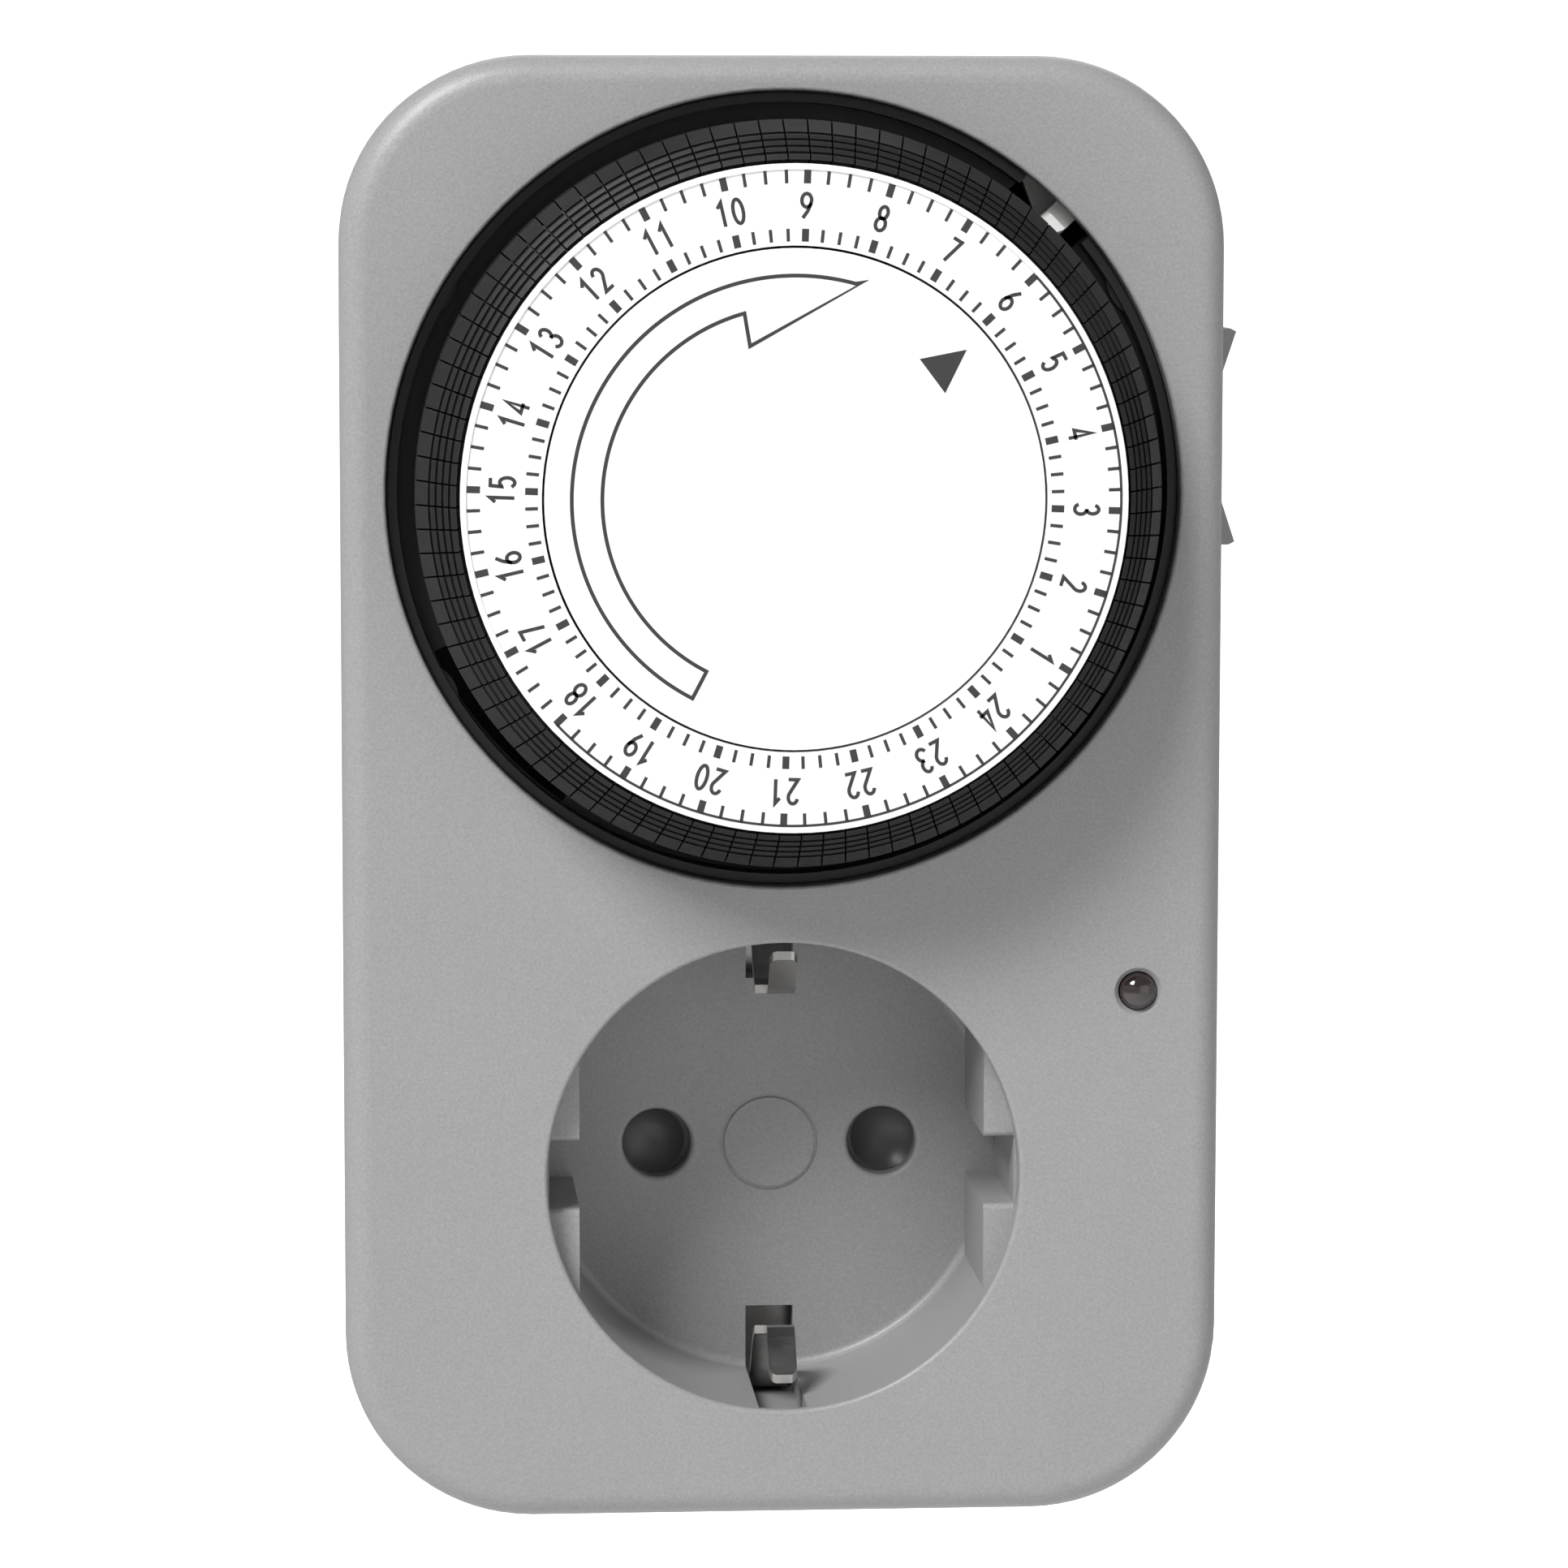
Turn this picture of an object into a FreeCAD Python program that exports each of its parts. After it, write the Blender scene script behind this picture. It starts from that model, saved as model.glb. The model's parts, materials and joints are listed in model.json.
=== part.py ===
import FreeCAD, Part
import math
import os
from types import SimpleNamespace

import Sketcher

# Plug-in mechanical day timer with an earthed socket, as a parametric assembly.
#
# The frame: the origin is the middle between the two plug pins, on the face that
# the pins stand out of. +Y runs along the pins towards the wall, +Z is up and +X is
# to the right of somebody who looks at the dial. Lengths are millimetres.

doc = FreeCAD.newDocument("plug_in_timer")
sheet = doc.addObject("Spreadsheet::Sheet", "Sizes")

# ---------------------------------------------------------------- driving dimensions
DRIVING_SIZES = [
    # housing
    ("body_width", 71.5, "width of both shells"),
    ("body_height", 119.0, "height of both shells"),
    ("body_depth", 34.0, "front face to rear face, without the plug"),
    ("corner_radius", 15.3, "corners of the outline"),
    ("front_edge_radius", 2.2, "rounding of the front edge"),
    ("rear_edge_radius", 1.8, "rounding of the rear edge"),
    ("seam_radius", 0.3, "rounding of both shells at the parting line"),
    ("wall", 2.2, "wall of both shells"),
    ("front_shell_depth", 24.0, "front face to the parting line"),
    ("socket_height", 28.1, "socket axis above the bottom"),
    ("dial_rise", 56.0, "dial axis above the socket axis"),
    # plug
    ("plug_radius", 18.7, "round plug body behind the shell"),
    ("plug_depth", 17.0, "plug body behind the rear face"),
    ("plug_wall", 2.2, "wall of the plug body"),
    ("plug_face", 2.5, "thickness of the face that holds the pins"),
    ("pin_spacing", 19.0, "between the pin axes"),
    ("pin_radius", 2.4, "plug pin"),
    ("pin_length", 19.0, "plug pin outside the plug face"),
    ("shank_radius", 2.0, "plug pin inside the plug face"),
    ("groove_radius", 2.6, "guide groove in the side of the plug body"),
    ("groove_depth", 1.5, "depth of that groove"),
    # socket well
    ("well_radius", 19.3, "socket well"),
    ("well_depth", 17.5, "socket well"),
    ("well_wall", 1.8, "wall round the well"),
    ("well_floor", 2.0, "floor of the well"),
    ("flat_reach", 16.6, "socket axis to each side flat"),
    ("ledge_depth", 2.5, "front face to the top of the flats"),
    ("notch_half_width", 2.8, "notch through the middle of each flat"),
    ("notch_rounding", 0.5, "edges of the notch at the top of the flats"),
    ("floor_rounding", 0.7, "corner between the well's floor and its round wall"),
    ("contact_hole_radius", 2.9, "holes in the well floor"),
    ("earth_slot_width", 4.0, "slot for each earth spring"),
    ("earth_slot_start", 14.0, "socket axis to the inner end of the slot"),
    ("earth_channel_reach", 21.3, "socket axis to the back of the channel"),
    ("earth_channel_web", 0.8, "skin left in front of the channel"),
    ("badge_radius", 4.1, "ring groove round the middle of the floor"),
    ("badge_groove", 0.3, "width of that groove"),
    ("badge_depth", 0.2, "depth of that groove"),
    # metal
    ("strip", 0.7, "thickness of the stamped strips"),
    ("sleeve_radius", 3.2, "outside of a contact sleeve"),
    ("sleeve_bore", 2.5, "inside of a contact sleeve"),
    ("strip_width", 3.8, "width of the current-carrying strips"),
    # dial
    ("opening_radius", 32.1, "dial opening in the front face"),
    ("dial_proud", 11.4, "printed dial face in front of the shell"),
    ("dial_radius", 26.35, "printed dial ring"),
    ("dial_plate", 1.5, "thickness of the printed ring"),
    ("dial_rim_width", 0.45, "raised rim of the printed ring"),
    ("dial_rim_height", 0.15, "raised rim of the printed ring"),
    ("centre_radius", 19.75, "fixed plate in the middle of the dial"),
    ("centre_gap", 0.2, "between the fixed plate and the ring"),
    ("skirt_radius", 24.6, "outside of the ring's skirt"),
    ("skirt_wall", 1.6, "wall of the skirt"),
    ("skirt_length", 8.4, "skirt behind the printed ring"),
    ("web_radius", 28.8, "web of the dial gear"),
    ("web_thickness", 2.0, "web of the dial gear"),
    ("gear_module", 0.9, "teeth inside the dial gear"),
    ("gear_teeth", 48, "teeth inside the dial gear"),
    ("pinion_teeth", 12, "teeth of the drive pinion"),
    ("gear_width", 3.7, "face width of the teeth"),
    ("gear_rim", 2.3, "rim outside the tooth roots"),
    ("pinion_angle", 225.0, "direction of the drive pinion from the dial axis, degrees"),
    ("hub_radius", 8.0, "hub of the dial gear"),
    ("spindle_radius", 6.0, "fixed spindle that the dial turns on"),
    ("stem_radius", 4.0, "stem of the fixed plate inside the spindle"),
    ("stem_length", 9.0, "stem of the fixed plate"),
    # tappets
    ("tappet_count", 96, "one for each quarter of an hour"),
    ("tappet_radius", 29.8, "widest part of the tappet ring"),
    ("tappet_stroke", 2.5, "how far a tappet is pushed in"),
    ("tappet_gap", 0.3, "angle between two tappets, degrees"),
    ("foot_width", 0.75, "radial thickness of a tappet's foot"),
    ("foot_depth", 1.4, "the foot reaches this far behind the front face"),
    # dial carrier
    ("carrier_plate", 2.0, "floor of the carrier"),
    ("carrier_radius", 33.2, "carrier flange"),
    ("collar_radius", 31.9, "collar that lines the dial opening"),
    ("collar_wall", 0.7, "wall of the collar"),
    ("ear_reach", 34.0, "dial axis to each fixing ear"),
    ("ear_angle", 30.0, "direction of the ears, degrees"),
    ("ear_radius", 3.2, "fixing ear"),
    ("peg_radius", 1.4, "peg that holds an ear"),
    # follower and switch
    ("follower_angle", 44.3, "direction of the follower's nose, degrees"),
    ("nose_reach", 29.1, "dial axis to the end of the nose"),
    ("nose_slope", 0.8, "how far the front of the nose draws back"),
    ("lever_thickness", 1.5, "follower lever"),
    ("lever_width", 3.0, "follower lever"),
    ("lever_pivot_x", 12.0, "follower pivot from the dial axis"),
    ("lever_pivot_z", 28.5, "follower pivot from the dial axis"),
    ("stub_radius", 1.2, "follower pivot"),
    ("switch_width", 20.0, "microswitch"),
    ("switch_height", 9.5, "microswitch"),
    ("switch_depth", 6.4, "microswitch"),
    ("plunger_radius", 0.6, "microswitch plunger"),
    ("plunger_proud", 1.1, "plunger above the microswitch"),
    # motor
    ("motor_radius", 16.5, "synchronous motor can"),
    ("motor_depth", 12.0, "synchronous motor can"),
    ("motor_wall", 0.8, "synchronous motor can"),
    ("motor_cover_sheet", 0.9, "cover of the motor"),
    ("motor_standoff", 2.4, "carrier to motor cover"),
    ("motor_x", -6.0, "motor axis from the dial axis"),
    ("motor_z", -2.0, "motor axis from the dial axis"),
    ("motor_ear_reach", 20.0, "motor axis to each fixing ear"),
    ("shaft_radius", 1.2, "output shaft of the motor"),
    # rocker
    ("rocker_inset", 12.4, "rocker axis behind the front face"),
    ("rocker_rise", 3.9, "rocker axis above the dial axis"),
    ("rocker_length", 17.8, "over the two ends"),
    ("rocker_width", 8.2, "along the depth of the housing"),
    ("rocker_proud", 2.0, "ends of the rocker outside the side wall"),
    ("rocker_valley", 0.85, "middle of the rocker inside the side wall's face"),
    ("rocker_pin_radius", 1.0, "rocker pivot"),
    ("rocker_pivot_depth", 4.75, "rocker pivot inside the side wall's face"),
    # indicator
    ("lamp_inset", 6.8, "lamp axis from the side of the body"),
    ("lamp_rise", 15.1, "lamp axis above the socket axis"),
    ("lens_radius", 1.5, "lens seen from the front"),
    ("lens_proud", 0.75, "lens in front of the face"),
    # fasteners and leads
    ("boss_radius", 3.3, "screw boss"),
    ("screw_radius", 1.45, "housing screw"),
    ("screw_head_radius", 2.6, "housing screw"),
    ("screw_length", 14.0, "housing screw under its head"),
    ("lead_radius", 0.7, "insulated lead"),
    # fits
    ("running_gap", 0.05, "radial clearance of a turning or sliding fit"),
    ("gap", 0.3, "clearance between parts that move past each other"),
    ("seat_gap", 0.1, "clearance between parts that rest on each other"),
]


class Size:
    """A length that knows both its number and the sheet formula behind it."""

    def __init__(self, number, formula):
        self.number = number
        self.formula = formula

    def __add__(self, other):
        other = size_of(other)
        return Size(self.number + other.number, f"({self.formula} + {other.formula})")

    def __sub__(self, other):
        other = size_of(other)
        return Size(self.number - other.number, f"({self.formula} - {other.formula})")

    def __mul__(self, other):
        other = size_of(other)
        return Size(self.number * other.number, f"({self.formula} * {other.formula})")

    def __truediv__(self, other):
        other = size_of(other)
        return Size(self.number / other.number, f"({self.formula} / {other.formula})")

    def __neg__(self):
        return Size(-self.number, f"(0 - {self.formula})")

    def __radd__(self, other):
        return size_of(other) + self

    def __rsub__(self, other):
        return size_of(other) - self

    def __rmul__(self, other):
        return size_of(other) * self

    def __rtruediv__(self, other):
        return size_of(other) / self


def size_of(value):
    """A plain number as a Size, and a Size as it is."""
    if isinstance(value, Size):
        return value
    return Size(float(value), f"({float(value)})")


def cosine(angle):
    """Cosine of a Size in degrees."""
    angle = size_of(angle)
    return Size(math.cos(math.radians(angle.number)), f"cos({angle.formula} * 1deg)")


def sine(angle):
    """Sine of a Size in degrees."""
    angle = size_of(angle)
    return Size(math.sin(math.radians(angle.number)), f"sin({angle.formula} * 1deg)")


mm = SimpleNamespace()
for row, (alias, value, meaning) in enumerate(DRIVING_SIZES, start=1):
    sheet.set(f"A{row}", alias)
    sheet.set(f"B{row}", str(value))
    sheet.set(f"C{row}", meaning)
    sheet.setAlias(f"B{row}", alias)
    setattr(mm, alias, Size(value, f"Sizes.{alias}"))
doc.recompute()

# ---------------------------------------------------------------- planes and places
half_width = mm.body_width / 2
bottom = -mm.socket_height
top = bottom + mm.body_height
rear = -mm.plug_depth
face = rear - mm.body_depth
parting = face + mm.front_shell_depth
inner_face = face + mm.wall
inner_rear = rear - mm.wall
floor_front = face + mm.well_depth
floor_back = floor_front + mm.well_floor
dial_z = mm.dial_rise
pin_x = mm.pin_spacing / 2

dial_front = face - mm.dial_proud
plate_back = dial_front + mm.dial_plate
spindle_top = dial_front + mm.dial_plate - mm.gap
web_front = plate_back + mm.skirt_length
web_back = web_front + mm.web_thickness
gear_back = web_back + mm.gear_width
carrier_front = gear_back + mm.gap
carrier_back = carrier_front + mm.carrier_plate
lever_front = carrier_back + mm.gap
lever_back = lever_front + mm.lever_thickness
motor_front = carrier_back + mm.motor_standoff
motor_can_front = motor_front + mm.motor_cover_sheet
motor_back = motor_can_front + mm.motor_depth

# ---------------------------------------------------------------- building helpers
pieces = []
ALONG_X = FreeCAD.Rotation(FreeCAD.Vector(0, 1, 0), 90)
ALONG_Y = FreeCAD.Rotation(FreeCAD.Vector(1, 0, 0), -90)
ALONG_Z = FreeCAD.Rotation()
NEAR = 1e-6


def keep(item, label):
    """Name a finished sub-part and list it for export."""
    item.Label = label
    pieces.append(item)
    return item


def bind(item, prop, value):
    """Tie one property of a document object to the sheet."""
    item.setExpression(prop, size_of(value).formula)


def place(item, x, y, z, rotation=ALONG_Z):
    """Put a document object at x, y, z, all tied to the sheet."""
    item.Placement = FreeCAD.Placement(FreeCAD.Vector(), rotation)
    bind(item, "Placement.Base.x", x)
    bind(item, "Placement.Base.y", y)
    bind(item, "Placement.Base.z", z)


def block(x, y, z, name="block"):
    """A box from three (low, high) pairs."""
    item = doc.addObject("Part::Box", name)
    bind(item, "Length", size_of(x[1]) - x[0])
    bind(item, "Width", size_of(y[1]) - y[0])
    bind(item, "Height", size_of(z[1]) - z[0])
    place(item, x[0], y[0], z[0])
    return item


def rod(radius, x, y, z, name="rod"):
    """A cylinder along the one axis that is given as a (low, high) pair."""
    item = doc.addObject("Part::Cylinder", name)
    bind(item, "Radius", radius)
    if isinstance(x, tuple):
        bind(item, "Height", size_of(x[1]) - x[0])
        place(item, x[0], y, z, ALONG_X)
    elif isinstance(y, tuple):
        bind(item, "Height", size_of(y[1]) - y[0])
        place(item, x, y[0], z, ALONG_Y)
    else:
        bind(item, "Height", size_of(z[1]) - z[0])
        place(item, x, y, z[0], ALONG_Z)
    return item


def ball(radius, x, y, z, name="ball"):
    """A sphere."""
    item = doc.addObject("Part::Sphere", name)
    bind(item, "Radius", radius)
    place(item, x, y, z)
    return item


def fuse(items, name="fusion"):
    """Several solids joined into one."""
    item = doc.addObject("Part::MultiFuse", name)
    item.Shapes = items
    item.Refine = True
    return item


def cut(base, tools, name="cut"):
    """One solid less several others."""
    tool = tools[0]
    if len(tools) > 1:
        tool = doc.addObject("Part::Compound", f"{name}_tools")
        tool.Links = tools
    item = doc.addObject("Part::Cut", name)
    item.Base = base
    item.Tool = tool
    return item


def common(base, tool, name="common"):
    """What two solids share."""
    item = doc.addObject("Part::Common", name)
    item.Base = base
    item.Tool = tool
    return item


def group(items, name="group"):
    """Separate solids kept in one node."""
    item = doc.addObject("Part::Compound", name)
    item.Links = items
    return item


# ---------------------------------------------------------------- sketch outlines
def pin_point(sketch, geometry, point, x, y):
    """Hold one point of a sketch at x, y from the sketch's origin."""
    for kind, value, axis in (("DistanceX", x, -2), ("DistanceY", y, -1)):
        value = size_of(value)
        if abs(value.number) < NEAR:
            sketch.addConstraint(Sketcher.Constraint("PointOnObject", geometry, point, axis))
        else:
            rule = Sketcher.Constraint(kind, -1, 1, geometry, point, value.number)
            index = sketch.addConstraint(rule)
            sketch.setExpression(f"Constraints[{index}]", value.formula)


def hold_radius(sketch, geometry, radius):
    """Hold the radius of one circle or arc of a sketch."""
    radius = size_of(radius)
    index = sketch.addConstraint(Sketcher.Constraint("Radius", geometry, radius.number))
    sketch.setExpression(f"Constraints[{index}]", radius.formula)


def flat_vector(x, y):
    """A point of a sketch from two Sizes."""
    return FreeCAD.Vector(size_of(x).number, size_of(y).number, 0)


def polygon(points):
    """A closed outline of straight lines."""
    def draw(sketch):
        first = sketch.GeometryCount
        count = len(points)
        for i, point in enumerate(points):
            after = points[(i + 1) % count]
            sketch.addGeometry(Part.LineSegment(flat_vector(*point), flat_vector(*after)))
        for i, point in enumerate(points):
            joined = first + (i + 1) % count
            sketch.addConstraint(Sketcher.Constraint("Coincident", first + i, 2, joined, 1))
            pin_point(sketch, first + i, 1, *point)
    return draw


def rectangle(x0, x1, y0, y1):
    """An upright rectangle."""
    return polygon([(x0, y0), (x1, y0), (x1, y1), (x0, y1)])


def circle(x, y, radius):
    """A circle."""
    def draw(sketch):
        centre = flat_vector(x, y)
        ring = Part.Circle(centre, FreeCAD.Vector(0, 0, 1), size_of(radius).number)
        index = sketch.addGeometry(ring)
        pin_point(sketch, index, 3, x, y)
        hold_radius(sketch, index, radius)
    return draw


def arc_between(sketch, centre, start, end, radius):
    """An arc that runs counter-clockwise from start to end, and its index."""
    middle = flat_vector(*centre)
    angles = []
    for point in (start, end):
        offset = flat_vector(*point).sub(middle)
        angles.append(math.atan2(offset.y, offset.x))
    whole = Part.Circle(middle, FreeCAD.Vector(0, 0, 1), size_of(radius).number)
    index = sketch.addGeometry(Part.ArcOfCircle(whole, angles[0], angles[1]))
    hold_radius(sketch, index, radius)
    return index


def rounded_rectangle(x0, x1, y0, y1, radius):
    """An upright rectangle with round corners."""
    def draw(sketch):
        corners = [
            (x1 - radius, y0 + radius, 270), (x1 - radius, y1 - radius, 0),
            (x0 + radius, y1 - radius, 90), (x0 + radius, y0 + radius, 180),
        ]
        ends = []
        for cx, cy, angle in corners:
            turn_x = round(math.cos(math.radians(angle)))
            turn_y = round(math.sin(math.radians(angle)))
            start = (cx + radius * turn_x, cy + radius * turn_y)
            end = (cx - radius * turn_y, cy + radius * turn_x)
            ends.append((start, end))
        lines = []
        for i, (start, end) in enumerate(ends):
            after = ends[(i + 1) % 4][0]
            line = sketch.addGeometry(Part.LineSegment(flat_vector(*end), flat_vector(*after)))
            pin_point(sketch, line, 1, *end)
            pin_point(sketch, line, 2, *after)
            lines.append(line)
        for i, (cx, cy, angle) in enumerate(corners):
            arc = arc_between(sketch, (cx, cy), *ends[i], radius)
            sketch.addConstraint(Sketcher.Constraint("Coincident", arc, 1, lines[i - 1], 2))
            sketch.addConstraint(Sketcher.Constraint("Coincident", arc, 2, lines[i], 1))
    return draw


def flatted_circle(radius, reach):
    """A circle about the sketch's origin, cut straight at x = -reach and x = reach."""
    def draw(sketch):
        rise = (radius.number ** 2 - reach.number ** 2) ** 0.5
        high = Size(rise, f"sqrt({radius.formula} ^ 2 - {reach.formula} ^ 2)")
        right = sketch.addGeometry(Part.LineSegment(flat_vector(reach, -high), flat_vector(reach, high)))
        left = sketch.addGeometry(Part.LineSegment(flat_vector(-reach, high), flat_vector(-reach, -high)))
        pin_point(sketch, right, 1, reach, -high)
        pin_point(sketch, right, 2, reach, high)
        pin_point(sketch, left, 1, -reach, high)
        pin_point(sketch, left, 2, -reach, -high)
        upper = arc_between(sketch, (0, 0), (reach, high), (-reach, high), radius)
        lower = arc_between(sketch, (0, 0), (-reach, -high), (reach, -high), radius)
        sketch.addConstraint(Sketcher.Constraint("Coincident", upper, 1, right, 2))
        sketch.addConstraint(Sketcher.Constraint("Coincident", upper, 2, left, 1))
        sketch.addConstraint(Sketcher.Constraint("Coincident", lower, 1, left, 2))
        sketch.addConstraint(Sketcher.Constraint("Coincident", lower, 2, right, 1))
    return draw


def polar(reach, angle, across=0):
    """A point at a distance along a direction, and a distance across it."""
    x = reach * cosine(angle) - across * sine(angle)
    y = reach * sine(angle) + across * cosine(angle)
    return x, y


def sector(inner, outer, low, high):
    """A piece of a flat ring between two angles about the sketch's origin."""
    def draw(sketch):
        first = sketch.addGeometry(
            Part.LineSegment(flat_vector(*polar(inner, low)), flat_vector(*polar(outer, low))))
        last = sketch.addGeometry(
            Part.LineSegment(flat_vector(*polar(outer, high)), flat_vector(*polar(inner, high))))
        pin_point(sketch, first, 1, *polar(inner, low))
        pin_point(sketch, first, 2, *polar(outer, low))
        pin_point(sketch, last, 1, *polar(outer, high))
        pin_point(sketch, last, 2, *polar(inner, high))
        far = arc_between(sketch, (0, 0), polar(outer, low), polar(outer, high), outer)
        near = arc_between(sketch, (0, 0), polar(inner, low), polar(inner, high), inner)
        sketch.addConstraint(Sketcher.Constraint("Coincident", far, 1, first, 2))
        sketch.addConstraint(Sketcher.Constraint("Coincident", far, 2, last, 1))
        sketch.addConstraint(Sketcher.Constraint("Coincident", near, 1, first, 1))
        sketch.addConstraint(Sketcher.Constraint("Coincident", near, 2, last, 2))
    return draw


class Moulding:
    """A sub-part that is built as a PartDesign body.

    Outlines across the depth are drawn on the body's XZ plane, so a start and an end
    are places along Y. Turned profiles are drawn on its XY plane as (radius, y).
    """

    def __init__(self, label, x=0, z=0):
        self.label = label
        self.body = doc.addObject("PartDesign::Body", label)
        place(self.body, x, 0, z)
        self.features = 0
        keep(self.body, label)

    def plane(self, role):
        """One of the body's own origin planes."""
        return next(item for item in self.body.Origin.OriginFeatures if item.Role == role)

    def sketch(self, role, offset, drawings):
        """A sketch at a distance along the normal of an origin plane."""
        self.features += 1
        sketch = self.body.newObject("Sketcher::SketchObject", f"{self.label}_sketch_{self.features}")
        sketch.AttachmentSupport = (self.plane(role), [""])
        sketch.MapMode = "FlatFace"
        bind(sketch, "AttachmentOffset.Base.z", offset)
        for draw in drawings:
            draw(sketch)
        return sketch

    def feature(self, kind, sketch):
        """A PartDesign feature on one sketch."""
        item = self.body.newObject(f"PartDesign::{kind}", f"{self.label}_{kind.lower()}_{self.features}")
        item.Profile = sketch
        sketch.Visibility = False
        return item

    def pad(self, drawings, start, end):
        """Material between two places along Y."""
        item = self.feature("Pad", self.sketch("XZ_Plane", -size_of(start), drawings))
        item.Reversed = True
        bind(item, "Length", size_of(end) - start)
        return item

    def pocket(self, drawings, start, end):
        """A cut between two places along Y."""
        item = self.feature("Pocket", self.sketch("XZ_Plane", -size_of(start), drawings))
        bind(item, "Length", size_of(end) - start)
        return item

    def pad_across(self, drawings, start, end):
        """Material between two places along X, from outlines drawn as (y, z)."""
        item = self.feature("Pad", self.sketch("YZ_Plane", start, drawings))
        bind(item, "Length", size_of(end) - start)
        return item

    def turn(self, points):
        """A turned solid about the body's Y axis, from a profile of (radius, y)."""
        item = self.feature("Revolution", self.sketch("XY_Plane", 0, [polygon(points)]))
        item.ReferenceAxis = (item.Profile[0], ["V_Axis"])
        item.Angle = 360
        return item

    def loft(self, start, first, end, last):
        """Material that changes from one outline to another along Y."""
        lower = self.sketch("XZ_Plane", -size_of(start), [first])
        upper = self.sketch("XZ_Plane", -size_of(end), [last])
        item = self.feature("AdditiveLoft", lower)
        item.Sections = [(upper, [""])]
        item.Ruled = True
        return item

    def repeat(self, feature, count):
        """A feature repeated round the body's Y axis."""
        pattern = self.body.newObject("PartDesign::PolarPattern", f"{self.label}_pattern")
        pattern.Originals = [feature]
        pattern.Axis = (feature.Profile[0], ["N_Axis"])
        pattern.Angle = 360
        bind(pattern, "Occurrences", count)
        self.body.Tip = pattern
        return pattern

    def round_edges(self, radius, belongs):
        """Fillet the edges of the tip that a test picks."""
        doc.recompute()
        base = self.body.Tip
        names = []
        for i, edge in enumerate(base.Shape.Edges, start=1):
            if belongs(edge):
                names.append(f"Edge{i}")
        if not names:
            raise RuntimeError(f"{self.label}: no edge to round")
        item = self.body.newObject("PartDesign::Fillet", f"{self.label}_fillet_{self.features}")
        self.features += 1
        item.Base = (base, names)
        bind(item, "Radius", radius)
        return item


def lies_at(y):
    """A test for edges that lie in one plane across the depth."""
    place_y = size_of(y).number
    return lambda edge: abs(edge.BoundBox.YMin - place_y) < NEAR and abs(edge.BoundBox.YMax - place_y) < NEAR


def is_ring_at(y, radius):
    """A test for round edges of one radius in one plane across the depth."""
    flat = lies_at(y)
    wanted = size_of(radius).number

    def belongs(edge):
        curve = getattr(edge, "Curve", None)
        return flat(edge) and isinstance(curve, Part.Circle) and abs(curve.Radius - wanted) < NEAR
    return belongs


# ---------------------------------------------------------------- shared places
corner_inset = mm.corner_radius - (mm.corner_radius - mm.wall - mm.boss_radius + 0.2) * math.sqrt(0.5)
screw_x = half_width - corner_inset
screw_places = [
    (screw_x, top - corner_inset), (-screw_x, top - corner_inset),
    (screw_x, bottom + corner_inset), (-screw_x, bottom + corner_inset),
]
ear_x, ear_z = polar(mm.ear_reach, mm.ear_angle)
ear_places = [(ear_x, ear_z), (-ear_x, ear_z), (-ear_x, -ear_z), (ear_x, -ear_z)]
carrier_seat = inner_face + mm.seat_gap
lamp_x = half_width - mm.lamp_inset
lamp_z = mm.lamp_rise
lamp_tube_bore = mm.lens_radius + 1.1
lamp_tube_end = inner_face + 7
rocker_y = face + mm.rocker_inset
rocker_z = dial_z + mm.rocker_rise
rocker_slot_half = mm.rocker_length / 2 + 1.5
rocker_pivot_x = half_width - mm.rocker_pivot_depth

shutter_front = floor_back + mm.seat_gap
shutter_back = shutter_front + 1.8
retainer_front = shutter_back + 1.0
retainer_back = retainer_front + 0.8
retainer_peg_z = mm.sleeve_radius + 8.3
earth_strip_front = retainer_back + mm.seat_gap
earth_strip_back = earth_strip_front + mm.strip
sleeve_front = earth_strip_back - mm.strip + 0.2
pillar_top = -12.2
sleeve_back = pillar_top - 0.8


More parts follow.
